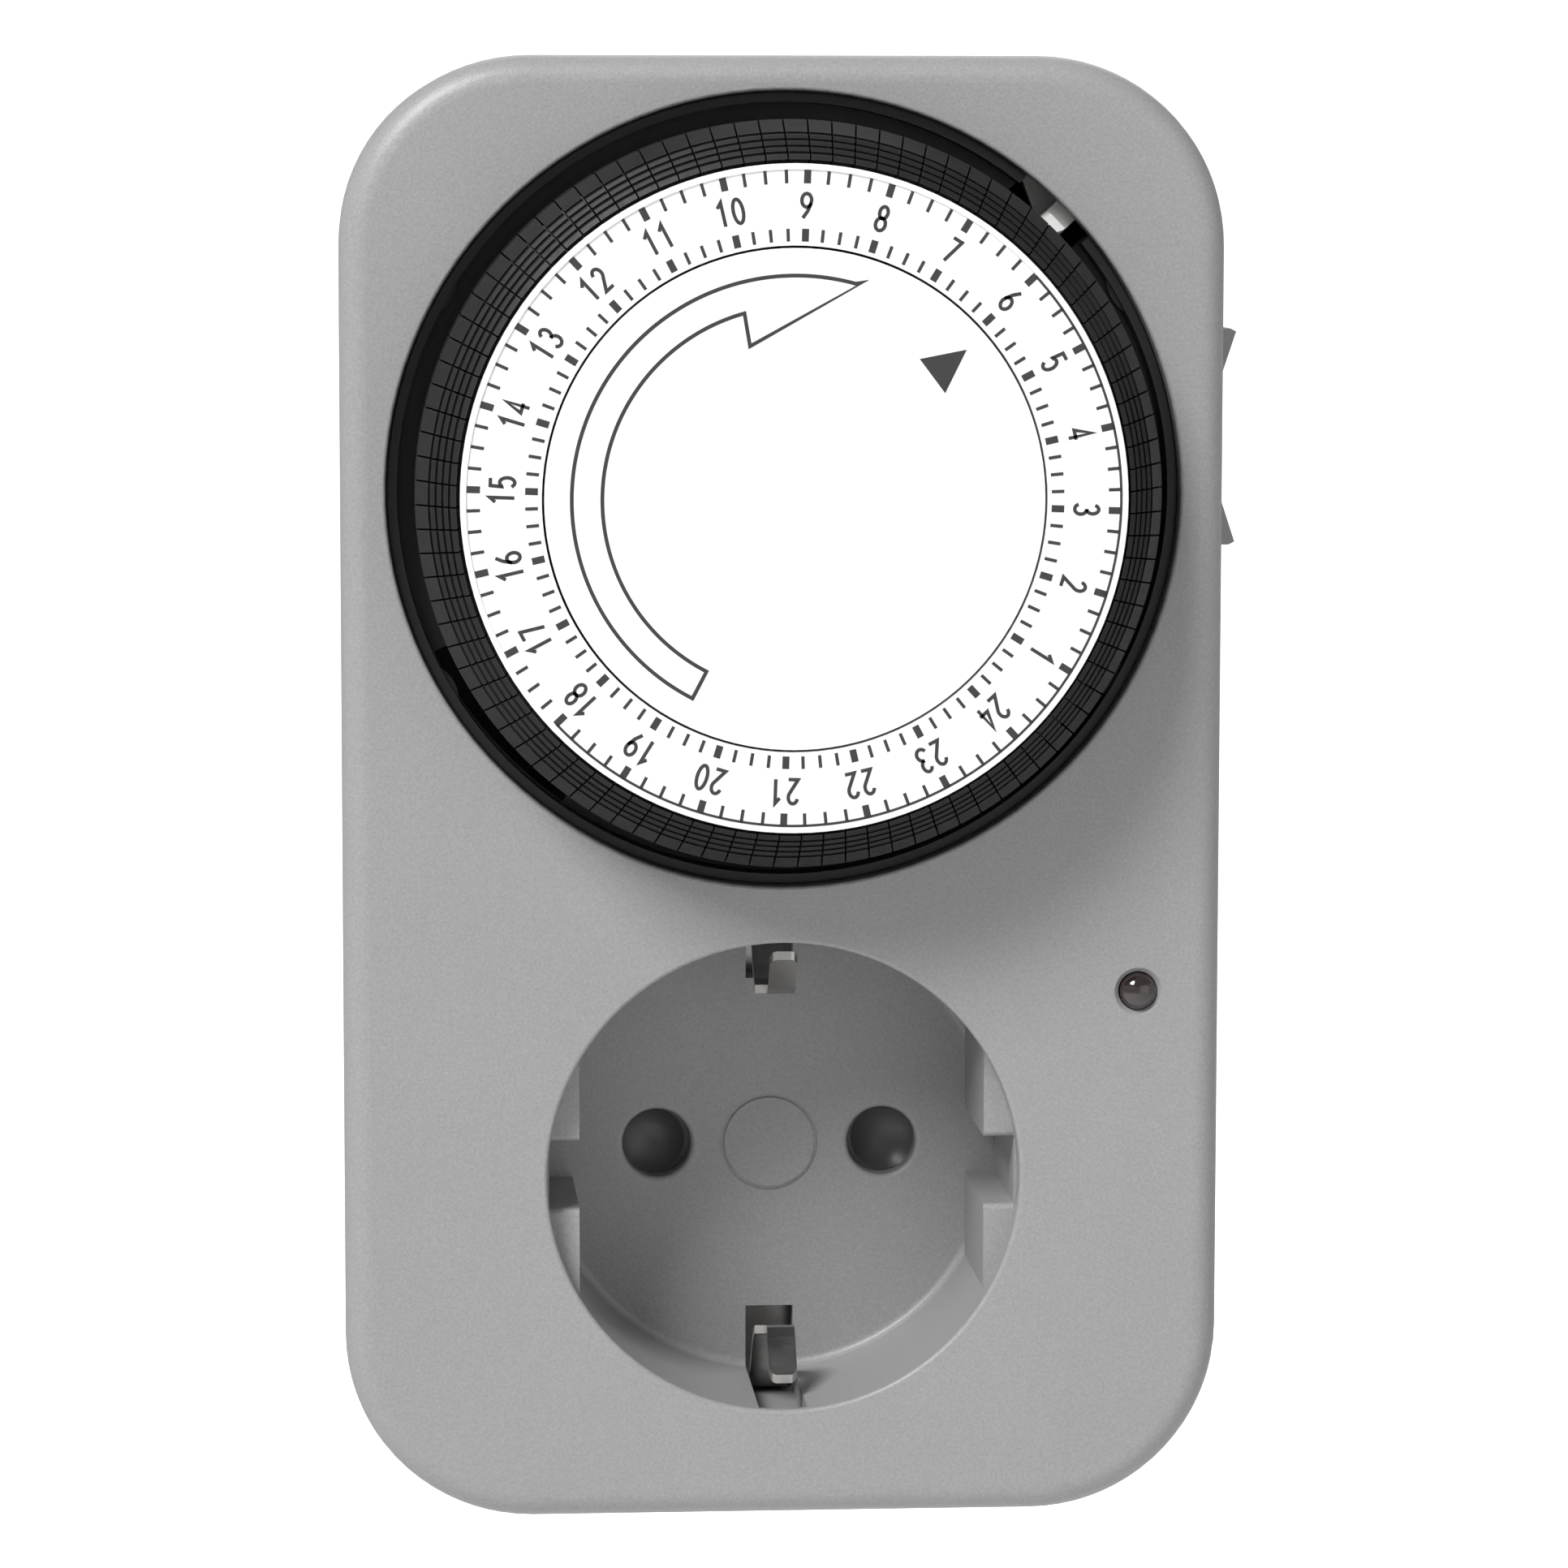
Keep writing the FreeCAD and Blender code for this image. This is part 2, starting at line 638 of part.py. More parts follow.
# ---------------------------------------------------------------- front shell
def make_front_housing():
    """Front shell with the socket well, the dial opening and the fixing bosses."""
    shell = Moulding("front_housing")
    outline = rounded_rectangle(-half_width, half_width, bottom, top, mm.corner_radius)
    shell.pad([outline], face, parting)
    shell.round_edges(mm.front_edge_radius, lies_at(face))
    shell.round_edges(mm.seam_radius, lies_at(parting))
    hollow = rounded_rectangle(
        mm.wall - half_width, half_width - mm.wall, bottom + mm.wall, top - mm.wall,
        mm.corner_radius - mm.wall)
    shell.pocket([hollow], inner_face, parting)

    inside_wall = face + mm.wall / 2
    shell.pad([circle(0, 0, mm.well_radius + mm.well_wall)], inside_wall, floor_back)
    block_half = mm.earth_slot_width / 2 + mm.well_wall
    block_far = mm.earth_channel_reach + mm.well_wall
    block_near = mm.well_radius
    shell.pad([rectangle(-block_half, block_half, block_near, block_far)], inside_wall, floor_back)
    shell.pad([rectangle(-block_half, block_half, -block_far, -block_near)], inside_wall, floor_back)
    shell.pad([circle(x, z, mm.boss_radius) for x, z in screw_places], inside_wall, parting)
    peg_end = carrier_back + 1.3
    shell.pad([circle(x, dial_z + z, mm.peg_radius) for x, z in ear_places], inside_wall, peg_end)
    shell.pad([circle(lamp_x, lamp_z, lamp_tube_bore + 0.9)], inside_wall, lamp_tube_end)

    in_front = face - 1
    shell.pocket([circle(0, 0, mm.well_radius)], in_front, face + mm.ledge_depth)
    shell.pocket([flatted_circle(mm.well_radius, mm.flat_reach)], face, floor_front)
    notch = mm.notch_half_width
    notch_chord = Size((mm.well_radius.number ** 2 - notch.number ** 2) ** 0.5,
                       f"sqrt({mm.well_radius.formula} ^ 2 - {notch.formula} ^ 2)")
    shell.pocket([rectangle(-notch_chord, notch_chord, -notch, notch)], face, floor_front)
    ledge = face + mm.ledge_depth
    at_ledge = lies_at(ledge)
    shell.round_edges(mm.notch_rounding, lambda edge: at_ledge(edge)
                      and abs(abs(edge.CenterOfMass.z) - notch.number) < NEAR)
    shell.round_edges(mm.floor_rounding, is_ring_at(floor_front, mm.well_radius))
    half_slot = mm.earth_slot_width / 2
    reach = mm.earth_channel_reach
    start = mm.earth_slot_start
    shell.pocket(
        [rectangle(-half_slot, half_slot, mm.well_radius - 2, reach),
         rectangle(-half_slot, half_slot, -reach, 2 - mm.well_radius)],
        face + mm.earth_channel_web, floor_back + 1)
    shell.pocket(
        [rectangle(-half_slot, half_slot, start, reach),
         rectangle(-half_slot, half_slot, -reach, -start)],
        floor_front - 1, floor_back + 1)
    shell.pocket([circle(0, 0, mm.badge_radius), circle(0, 0, mm.badge_radius - mm.badge_groove)],
                 floor_front - 1, floor_front + mm.badge_depth)
    shell.pocket(
        [circle(pin_x, 0, mm.contact_hole_radius), circle(-pin_x, 0, mm.contact_hole_radius)],
        floor_front - 1, floor_back + 1)
    shell.pocket([circle(0, dial_z, mm.opening_radius)], in_front, inner_face + 1)
    shell.pocket([circle(x, z, mm.screw_radius + mm.running_gap) for x, z in screw_places],
                 parting - mm.screw_length, parting + 1)
    shell.pocket([circle(lamp_x, lamp_z, lamp_tube_bore)], inner_face, lamp_tube_end + 1)
    shell.pocket([circle(lamp_x, lamp_z, mm.lens_radius + mm.seat_gap)], in_front, inner_face + 1)
    shell.pocket(
        [rectangle(half_width - mm.wall - 0.5, half_width + 1,
                   rocker_z - rocker_slot_half, rocker_z + rocker_slot_half)],
        rocker_y - mm.rocker_width / 2 - mm.gap, rocker_y + mm.rocker_width / 2 + mm.gap)
    shell.pad([circle(0, 0, mm.peg_radius)], floor_back - 0.5, retainer_back)
    shell.pad([circle(0, retainer_peg_z, mm.peg_radius), circle(0, -retainer_peg_z, mm.peg_radius)],
              floor_back - 0.5, retainer_back)

    shell.round_edges(0.35, is_ring_at(face, mm.well_radius))
    shell.round_edges(0.3, is_ring_at(face, mm.opening_radius))
    shell.round_edges(0.4, is_ring_at(floor_front, mm.contact_hole_radius))
    lamp_rim = shell.body.newObject("PartDesign::Chamfer", "lamp_rim")
    doc.recompute()
    base = lamp_rim.BaseFeature
    ring = is_ring_at(face, mm.lens_radius + mm.seat_gap)
    names = [f"Edge{i}" for i, edge in enumerate(base.Shape.Edges, start=1) if ring(edge)]
    lamp_rim.Base = (base, names)
    lamp_rim.Size = 0.35


# ---------------------------------------------------------------- rear shell
def make_rear_housing():
    """Rear shell with the round plug body that enters the wall socket."""
    shell = Moulding("rear_housing")
    outline = rounded_rectangle(-half_width, half_width, bottom, top, mm.corner_radius)
    shell.pad([outline], parting, rear)
    shell.round_edges(mm.rear_edge_radius, lies_at(rear))
    shell.round_edges(mm.seam_radius, lies_at(parting))
    hollow = rounded_rectangle(
        mm.wall - half_width, half_width - mm.wall, bottom + mm.wall, top - mm.wall,
        mm.corner_radius - mm.wall)
    shell.pocket([hollow], parting, inner_rear)
    shell.pad([circle(0, 0, mm.plug_radius)], inner_rear, 0)
    shell.round_edges(1.2, is_ring_at(0, mm.plug_radius))
    shell.pad([circle(x, z, mm.boss_radius + 1.2) for x, z in screw_places], parting, rear - mm.wall / 2)
    busbar_post_z = dial_z - 16
    shell.pad([circle(live_x, 24, 1.6), circle(live_x, busbar_post_z, 1.6)],
              busbar_back, rear - mm.wall / 2)
    shell.pocket([circle(0, 0, mm.plug_radius - mm.plug_wall)], parting, -mm.plug_face)

    pillar = mm.sleeve_radius - 0.6
    shell.pad([rectangle(-pin_x - pillar, -pin_x + pillar, -pillar, pillar),
               rectangle(pin_x - pillar, pin_x + pillar, mm.sleeve_radius + mm.seat_gap, 5),
               rectangle(pin_x - pillar, pin_x + pillar, -5, -mm.sleeve_radius - mm.seat_gap)],
              pillar_top, -mm.plug_face / 2)

    groove_x = mm.plug_radius + mm.groove_radius - mm.groove_depth
    shell.pocket([circle(groove_x, 0, mm.groove_radius), circle(-groove_x, 0, mm.groove_radius)],
                 rear, 1)
    slot_near = mm.plug_radius - mm.plug_wall - 0.2
    slot_far = mm.plug_radius + 0.5
    slot_half = 3.0 + mm.gap
    shell.pocket([rectangle(-slot_half, slot_half, slot_near, slot_far),
                  rectangle(-slot_half, slot_half, -slot_far, -slot_near)],
                 inner_rear - 0.1, -mm.plug_face)
    shell.pocket([circle(pin_x, 0, mm.shank_radius + mm.running_gap),
                  circle(-pin_x, 0, mm.shank_radius + mm.running_gap)], pillar_top - 1, 1)
    shell.pocket([circle(x, z, mm.screw_radius + 0.2) for x, z in screw_places], parting - 1, rear + 1)
    shell.pocket([circle(x, z, mm.screw_head_radius + mm.gap) for x, z in screw_places],
                 rear - 4, rear + 1)


def make_housing_screws():
    """Four self-tapping screws with cross recesses, driven from the rear."""
    screws = []
    head_front = rear - 4
    head_back = head_front + 2
    for x, z in screw_places:
        blank = fuse([rod(mm.screw_head_radius, x, (head_front, head_back), z),
                      rod(mm.screw_radius, x, (parting - mm.screw_length + 0.5, head_front), z)])
        cross = [block((x - 1.5, x + 1.5), (head_back - 1.1, head_back + 1), (z - 0.35, z + 0.35)),
                 block((x - 0.35, x + 0.35), (head_back - 1.1, head_back + 1), (z - 1.5, z + 1.5))]
        screws.append(cut(blank, [fuse(cross)]))
    keep(group(screws), "housing_screws")


# ---------------------------------------------------------------- plug, contacts, earth
live_x = pin_x + 7
live_rise = pin_x + 0.7
busbar_front = inner_rear - 3.8
busbar_back = busbar_front + mm.strip
feeder_front = inner_rear - 6.3
feeder_back = feeder_front + mm.strip
switch_low_z = dial_z + 15
terminal_low = switch_low_z - 6
terminal_back = lever_front + 4.1
terminal_front = terminal_back - mm.strip


def make_plug_pin(label, x, inner_end):
    """A round plug pin with its shank behind the plug face."""
    pin = Moulding(label, x, 0)
    tip = mm.pin_length
    pin.turn([(0, inner_end), (mm.shank_radius, inner_end), (mm.shank_radius, 0),
              (mm.pin_radius, 0), (mm.pin_radius, tip - 1.6), (mm.pin_radius - 0.35, tip - 0.7),
              (mm.pin_radius - 1.1, tip), (0, tip)])


def make_sleeve(x, base_half):
    """The slotted sleeve that grips a plug pin, on its base plate."""
    tube = cut(rod(mm.sleeve_radius, x, (sleeve_front, sleeve_back + 0.2), 0),
               [rod(mm.sleeve_bore, x, (sleeve_front - 1, sleeve_back), 0),
                block((x - 0.5, x + 0.5), (sleeve_front - 1, sleeve_back - 2), (-5, 5))])
    base = block((x - mm.sleeve_radius, x + mm.sleeve_radius), (sleeve_back, pillar_top),
                 (-base_half, base_half))
    return [tube, base]


def make_contacts():
    """Sleeves behind the socket holes, and the strips that feed them."""
    keep(fuse(make_sleeve(-pin_x, size_of(5))), "socket_contact_neutral")
    half = mm.strip_width / 2
    side = (pin_x - half, pin_x + half)
    tail_z = mm.plug_radius - mm.plug_wall - 5.5
    switch_end = terminal_low + 1.8
    live = make_sleeve(pin_x, size_of(5))
    live += [
        block(side, (sleeve_back, pillar_top), (4, tail_z)),
        block(side, (feeder_front, pillar_top), (tail_z - mm.strip, tail_z)),
        block(side, (feeder_front, feeder_back), (tail_z - mm.strip, switch_end)),
        block(side, (terminal_back, feeder_back), (switch_end - mm.strip, switch_end)),
    ]
    keep(fuse(live), "socket_contact_live")

    base_front = -mm.plug_face - mm.strip
    eye = mm.shank_radius + 1.0
    bar = [
        block((pin_x - eye, pin_x + eye), (base_front, -mm.plug_face), (-eye, eye)),
        block((pin_x, live_x - 1.2), (base_front, -mm.plug_face), (-half, half)),
        block((live_x - 1.2 - mm.strip, live_x - 1.2), (busbar_front, -mm.plug_face), (-half, half)),
        block((live_x - 1.2 - mm.strip, live_x + half), (busbar_front, busbar_back), (-half, switch_end)),
        block((live_x - half, live_x + half), (terminal_back, busbar_back),
              (switch_end - mm.strip, switch_end)),
    ]
    hole = rod(mm.shank_radius + mm.running_gap, pin_x, (base_front - 1, 0), 0)
    keep(cut(fuse(bar), [hole]), "live_busbar")


def make_earth_bracket():
    """One stamped strip: springs in the well, and strips beside the plug body."""
    bracket = Moulding("earth_bracket")
    strip = mm.strip
    leg_far = mm.earth_channel_reach - 0.4
    leg_near = leg_far - strip
    wide = (-2.8, 2.8)
    bracket.pad_across([rectangle(earth_strip_front, earth_strip_back, -leg_far, leg_far)], *wide)
    rear_near = mm.plug_radius - 1.3
    for side in (1, -1):
        low, high = sorted((side * leg_near, side * leg_far), key=lambda size: size.number)
        leg = rectangle(floor_front + 0.6, earth_strip_back, low, high)
        bracket.pad_across([leg], -1.75, 1.75)
        low, high = sorted((side * rear_near, side * (rear_near + strip)), key=lambda size: size.number)
        rear_strip = rectangle(earth_strip_front, -mm.plug_face - 0.6, low, high)
        bracket.pad_across([rear_strip], *wide)
        spring = [(-1.6, leg_near), (0.5, leg_near), (3.0, leg_near - 2.0), (5.8, leg_near - 4.8),
                  (7.6, leg_near - 5.9), (8.7, leg_near - 6.25)]
        tongue = [(8.7, leg_near - 6.25), (9.4, leg_near - 6.2), (10.4, leg_near - 5.6),
                  (12.9, leg_near - 2.9)]
        for run, left in ((spring, -1.8), (tongue, -0.85)):
            near_side = [(floor_front - depth, side * reach) for depth, reach in run]
            far_side = [(floor_front - depth, side * (reach + strip)) for depth, reach in reversed(run)]
            bracket.pad_across([polygon(near_side + far_side)], left, 1.45)
    tip_y = (floor_front - 12.9).number
    bracket.round_edges(0.6, lambda edge: edge.Length < strip.number + NEAR
                        and abs(edge.CenterOfMass.y - tip_y) < NEAR)


def make_shutter():
    """Child-protection shutter, its torsion spring and the plate that holds both."""
    pad_radius = mm.contact_hole_radius + 0.8
    height = (shutter_front, shutter_back)
    bar = fuse([rod(pad_radius, pin_x, height, 0), rod(pad_radius, -pin_x, height, 0),
                block((-pin_x, pin_x), height, (-2.2, 2.2))])
    dish = mm.contact_hole_radius * 1.6
    dishes = [ball(dish, pin_x + 0.3, shutter_front - dish + 0.9, 0),
              ball(dish, -pin_x - 0.3, shutter_front - dish + 0.9, 0)]
    pivot = rod(mm.peg_radius + mm.running_gap, 0, (shutter_front - 1, shutter_back + 1), 0)
    keep(cut(bar, dishes + [pivot]), "shutter")

    half_x = pin_x + 4.6
    half_z = retainer_peg_z + 2.2
    plate = block((-half_x, half_x), (retainer_front, retainer_back), (-half_z, half_z))
    span = (retainer_front - 1, retainer_back + 1)
    holes = [rod(mm.contact_hole_radius + 0.2, pin_x, span, 0),
             rod(mm.contact_hole_radius + 0.2, -pin_x, span, 0)]
    for z in (size_of(0), retainer_peg_z, -retainer_peg_z):
        holes.append(rod(mm.peg_radius + mm.running_gap, 0, span, z))
    keep(cut(plate, holes), "shutter_retainer")


def make_clock_spring(label, x, y, z, first_radius, wire_radius, turns, leg_length, turn):
    """A flat spiral spring of half rings that grow outwards, with a straight outer leg."""
    step = wire_radius * 1.6
    edges = []
    reach = first_radius
    end = FreeCAD.Vector(first_radius, 0, 0)
    for half in range(2 * turns):
        way = 1 if half % 2 == 0 else -1
        centre = end.sub(FreeCAD.Vector(way * reach, 0, 0))
        middle = centre.add(FreeCAD.Vector(0, way * reach, 0))
        after = centre.sub(FreeCAD.Vector(way * reach, 0, 0))
        edges.append(Part.Arc(end, middle, after).toShape())
        end = after
        reach += step
    edges.append(Part.LineSegment(end, end.add(FreeCAD.Vector(0, leg_length, 0))).toShape())
    path = Part.Wire(edges)
    start = FreeCAD.Vector(first_radius, 0, 0)
    section = Part.Wire(Part.makeCircle(wire_radius, start, FreeCAD.Vector(0, 1, 0)))
    spring = path.makePipeShell([section], True, False)
    wanted = math.pi * wire_radius ** 2 * path.Length
    if abs(spring.Volume - wanted) > 0.01 * wanted:
        raise RuntimeError(f"{label}: volume is not its section times its length")
    item = doc.addObject("Part::Feature", label)
    item.Shape = spring
    upright = FreeCAD.Rotation(FreeCAD.Vector(1, 0, 0), 90)
    spun = FreeCAD.Rotation(FreeCAD.Vector(0, 1, 0), turn)
    item.Placement = FreeCAD.Placement(FreeCAD.Vector(), spun.multiply(upright))
    bind(item, "Placement.Base.x", x)
    bind(item, "Placement.Base.y", y)
    bind(item, "Placement.Base.z", z)
    keep(item, label)


# ---------------------------------------------------------------- dial
def make_dial_carrier():
    """Fixed black tray behind the dial, with the spindle and the switch fixings."""
    tray = Moulding("dial_carrier", 0, dial_z)
    collar_top = face + 1.4
    collar_inner = mm.collar_radius - mm.collar_wall
    bore = mm.stem_radius + mm.running_gap
    stem_end = spindle_top + mm.stem_length + mm.gap
    tray.turn([(0, carrier_back), (mm.carrier_radius, carrier_back), (mm.carrier_radius, carrier_seat),
               (mm.collar_radius, carrier_seat), (mm.collar_radius, collar_top),
               (collar_inner, collar_top), (collar_inner, carrier_front),
               (mm.spindle_radius, carrier_front), (mm.spindle_radius, spindle_top),
               (bore, spindle_top), (bore, stem_end), (0, stem_end)])
    tray.pad([circle(x, z, mm.ear_radius) for x, z in ear_places], carrier_seat, carrier_back)
    motor_ears = [(mm.motor_x + mm.motor_ear_reach, mm.motor_z),
                  (mm.motor_x - mm.motor_ear_reach, mm.motor_z)]
    tray.pad([circle(x, z, 2.6) for x, z in motor_ears], carrier_back - 0.5, motor_front)
    tray.pad([circle(mm.lever_pivot_x, mm.lever_pivot_z, mm.stub_radius)],
             carrier_back - 0.5, lever_back + 2.2)
    switch_peg_z = switch_low_z - dial_z + mm.switch_height / 2
    tray.pad([circle(switch_left + 3, switch_peg_z, 1.0),
              circle(switch_right - 3, switch_peg_z, 1.0)], carrier_back - 0.5, lever_front + 5)

    above = collar_top - 1
    below = carrier_back + 1
    flat_top = top - mm.wall - dial_z - mm.gap
    flat_bottom = dial_z - mm.earth_channel_reach - mm.well_wall - mm.gap
    far = mm.carrier_radius + 1
    tray.pocket([rectangle(-far, far, flat_top, far), rectangle(-far, far, -far, -flat_bottom)],
                carrier_seat - 0.01, below)
    tray.pocket([circle(x, z, mm.peg_radius + mm.running_gap) for x, z in ear_places], above, below)
    window = [polar(mm.nose_reach - 0.4, mm.follower_angle, -2.6),
              polar(mm.carrier_radius + 1, mm.follower_angle, -2.6),
              polar(mm.carrier_radius + 1, mm.follower_angle, 4.4),
              polar(mm.nose_reach - 0.4, mm.follower_angle, 4.4)]
    tray.pocket([polygon(window)], above, below)
    rim = mm.tappet_radius + 0.2
    tray.pocket([sector(rim, collar_inner - 0.1, size_of(-51.5), size_of(-29.3)),
                 sector(rim, collar_inner - 0.1, size_of(205), size_of(235))], carrier_front - 1, below)
    tray.pocket([circle(*polar(pinion_reach, mm.pinion_angle), mm.shaft_radius + mm.gap)], above, below)
    tray.pocket([circle(x, z, 0.95) for x, z in motor_ears], carrier_back - 1.2, motor_front + 1)

    washers = []
    for x, z in ear_places:
        height = (carrier_back + 0.05, carrier_back + 0.55)
        ring = cut(rod(2.1, x, height, dial_z + z),
                   [rod(mm.peg_radius + mm.running_gap, x, (carrier_back - 1, carrier_back + 2), dial_z + z)])
        washers.append(ring)
    keep(group(washers), "carrier_washers")
    return motor_ears


def make_dial_gear():
    """Wheel behind the printed ring, with internal teeth and the bearing hub."""
    wheel = Moulding("dial_gear", 0, dial_z)
    hub_top = spindle_top + mm.gap
    bore = mm.spindle_radius + mm.running_gap
    wheel.turn([(bore, hub_top), (mm.hub_radius, hub_top), (mm.hub_radius, web_front),
                (mm.web_radius, web_front), (mm.web_radius, web_back), (gear_outer, web_back),
                (gear_outer, gear_back), (gear_tip, gear_back), (gear_tip, web_back),
                (mm.hub_radius, web_back), (mm.hub_radius, gear_back), (bore, gear_back)])
    angle = mm.pinion_angle
    space = [polar(gear_tip - 0.5, angle, -tooth_mouth), polar(gear_tip, angle, -tooth_mouth),
             polar(gear_root, angle, -tooth_floor), polar(gear_root, angle, tooth_floor),
             polar(gear_tip, angle, tooth_mouth), polar(gear_tip - 0.5, angle, tooth_mouth)]
    gap = wheel.pocket([polygon(space)], web_back, gear_back + 1)
    wheel.repeat(gap, mm.gear_teeth)


def make_dial_ring():
    """Printed white ring with its raised rim and the skirt that guides the tappets."""
    ring = Moulding("dial_ring", 0, dial_z)
    inner = mm.centre_radius + mm.centre_gap
    rim = mm.dial_radius - mm.dial_rim_width
    skirt_inner = mm.skirt_radius - mm.skirt_wall
    ring.turn([(inner, plate_back), (inner, dial_front), (rim, dial_front),
               (rim, dial_front - mm.dial_rim_height), (mm.dial_radius, dial_front - mm.dial_rim_height),
               (mm.dial_radius, plate_back), (mm.skirt_radius, plate_back),
               (mm.skirt_radius, web_front), (skirt_inner, web_front), (skirt_inner, plate_back)])
    ring.round_edges(mm.dial_rim_height / 2.5, is_ring_at(dial_front - mm.dial_rim_height, mm.dial_radius))

    plate = Moulding("centre_plate", 0, dial_z)
    plate.turn([(0, dial_front), (mm.centre_radius, dial_front), (mm.centre_radius, spindle_top),
                (mm.stem_radius, spindle_top), (mm.stem_radius, spindle_top + mm.stem_length),
                (0, spindle_top + mm.stem_length)])


def tappet_profile():
    """Ridged section of one tappet as (radius, y)."""
    top_y = dial_front + 0.6
    shelf = web_front - mm.tappet_stroke - 0.2
    inner = mm.skirt_radius + 0.15
    neck = mm.dial_radius + mm.gap
    foot_inner = mm.tappet_radius - mm.foot_width
    foot_end = face + mm.foot_depth
    band = 1.1
    ridges = 4
    groove = 0.12
    step_out = (mm.tappet_radius - band - neck) / ridges
    step_down = (shelf - 2.2 - top_y) / (ridges + 1)
    points = [(inner, shelf), (inner, plate_back + mm.gap), (neck, plate_back + mm.gap), (neck, top_y)]
    for i in range(ridges):
        reach = neck + step_out * (i + 1)
        ledge = top_y + step_down * i
        points.append((reach - 0.12, ledge + 0.2))
        points.append((reach, ledge + step_down + 0.35))
        points.append((reach + groove, ledge + step_down + 0.35))
        points.append((reach + groove, ledge + step_down))
    points += [(mm.tappet_radius, shelf - 1.2), (mm.tappet_radius, foot_end), (foot_inner, foot_end),
               (foot_inner, shelf)]
    return points


TAPPETS_PER_NODE = 4
FIRST_HOUR_ANGLE = 312.45


def make_tappets():
    """Ninety-six tappets, in one node for each hour of the dial."""
    profile = doc.addObject("Sketcher::SketchObject", "tappet_profile")
    polygon(tappet_profile())(profile)
    pitch = 360 / mm.tappet_count
    nodes = round(mm.tappet_count.number / TAPPETS_PER_NODE)
    for hour in range(nodes):
        quarters = []
        for quarter in range(TAPPETS_PER_NODE):
            item = doc.addObject("Part::Revolution", f"tappet_{hour}_{quarter}")
            item.Source = profile
            item.Axis = FreeCAD.Vector(0, -1, 0)
            item.Base = FreeCAD.Vector(0, 0, 0)
            item.Solid = True
            bind(item, "Angle", pitch - mm.tappet_gap)
            order = hour * TAPPETS_PER_NODE + quarter
            start = FIRST_HOUR_ANGLE + pitch.number * order + mm.tappet_gap.number / 2
            place(item, 0, 0, dial_z, FreeCAD.Rotation(FreeCAD.Vector(0, -1, 0), start))
            quarters.append(item)
        keep(group(quarters), f"tappets_hour_{hour if hour else 24:02d}")


# ---------------------------------------------------------------- gearing
pitch_radius = mm.gear_module * mm.gear_teeth / 2
pinion_pitch = mm.gear_module * mm.pinion_teeth / 2
pinion_reach = pitch_radius - pinion_pitch
gear_tip = pitch_radius - mm.gear_module
gear_root = pitch_radius + mm.gear_module * 1.25
gear_outer = gear_root + mm.gear_rim
tooth_half = mm.gear_module * (math.pi / 4)
backlash = 0.12
flank = math.tan(math.radians(20))
tooth_mouth = tooth_half + mm.gear_module * flank + backlash
tooth_floor = tooth_half - mm.gear_module * (1.25 * flank) + backlash


def make_pinion():
    """Drive pinion on the motor's output shaft."""
    x, z = polar(pinion_reach, mm.pinion_angle)
    pinion = Moulding("drive_pinion", x, dial_z + z)
    root = pinion_pitch - mm.gear_module * 1.25
    tip = pinion_pitch + mm.gear_module * 0.8
    front = web_back + mm.gap
    pinion.pad([circle(0, 0, root)], front, gear_back)
    pinion.pad([circle(0, 0, mm.shaft_radius)], gear_back - 1, motor_can_front + 2)
    base_half = tooth_half + mm.gear_module * (1.25 * flank) - backlash
    tip_half = tooth_half - mm.gear_module * (0.8 * flank) - backlash
    angle = mm.pinion_angle
    tooth = pinion.pad([polygon([polar(root - 0.6, angle, -base_half), polar(root, angle, -base_half),
                                 polar(tip, angle, -tip_half), polar(tip, angle, tip_half),
                                 polar(root, angle, base_half), polar(root - 0.6, angle, base_half)])],
                       front, gear_back)
    pinion.repeat(tooth, mm.pinion_teeth)


def make_motor(motor_ears):
    """Closed synchronous motor with its cover, winding and fixing screws."""
    x = mm.motor_x
    z = dial_z + mm.motor_z
    can = cut(rod(mm.motor_radius, x, (motor_can_front, motor_back), z),
              [rod(mm.motor_radius - mm.motor_wall, x,
                   (motor_can_front - 1, motor_back - mm.motor_wall), z)])
    keep(can, "motor_can")
    sheet_span = (motor_front, motor_can_front)
    through = (motor_front - 1, motor_can_front + 1)
    plate = [rod(mm.motor_radius, x, sheet_span, z)]
    holes = []
    screws = []
    for ear_x, ear_z in motor_ears:
        plate.append(rod(3.0, ear_x, sheet_span, dial_z + ear_z))
        holes.append(rod(1.0, ear_x, through, dial_z + ear_z))
        head = rod(2.1, ear_x, (motor_can_front, motor_can_front + 1.3), dial_z + ear_z)
        shank = rod(0.9, ear_x, (carrier_back - 1.1, motor_can_front), dial_z + ear_z)
        slot = block((ear_x - 2.5, ear_x + 2.5), (motor_can_front + 0.7, motor_can_front + 2),
                     (dial_z + ear_z - 0.3, dial_z + ear_z + 0.3))
        screws.append(cut(fuse([head, shank]), [slot]))
    plate.append(block((x - mm.motor_ear_reach, x + mm.motor_ear_reach), sheet_span, (z - 3, z + 3)))
    shaft_x, shaft_z = polar(pinion_reach, mm.pinion_angle)
    holes.append(rod(mm.shaft_radius + mm.running_gap, shaft_x, through, dial_z + shaft_z))
    keep(cut(fuse(plate), holes), "motor_cover")
    keep(group(screws), "motor_screws")
    winding_back = motor_back - mm.motor_wall
    bobbin = cut(rod(12.0, x, (winding_back - 6.5, winding_back), z),
                 [rod(5.0, x, (winding_back - 8, winding_back + 1), z)])
    keep(bobbin, "motor_winding")


# ---------------------------------------------------------------- follower and switch
switch_left = mm.lever_pivot_x - 14
switch_right = switch_left + mm.switch_width
plunger_x = mm.lever_pivot_x - 9
plunger_top = switch_low_z + mm.switch_height + mm.plunger_proud


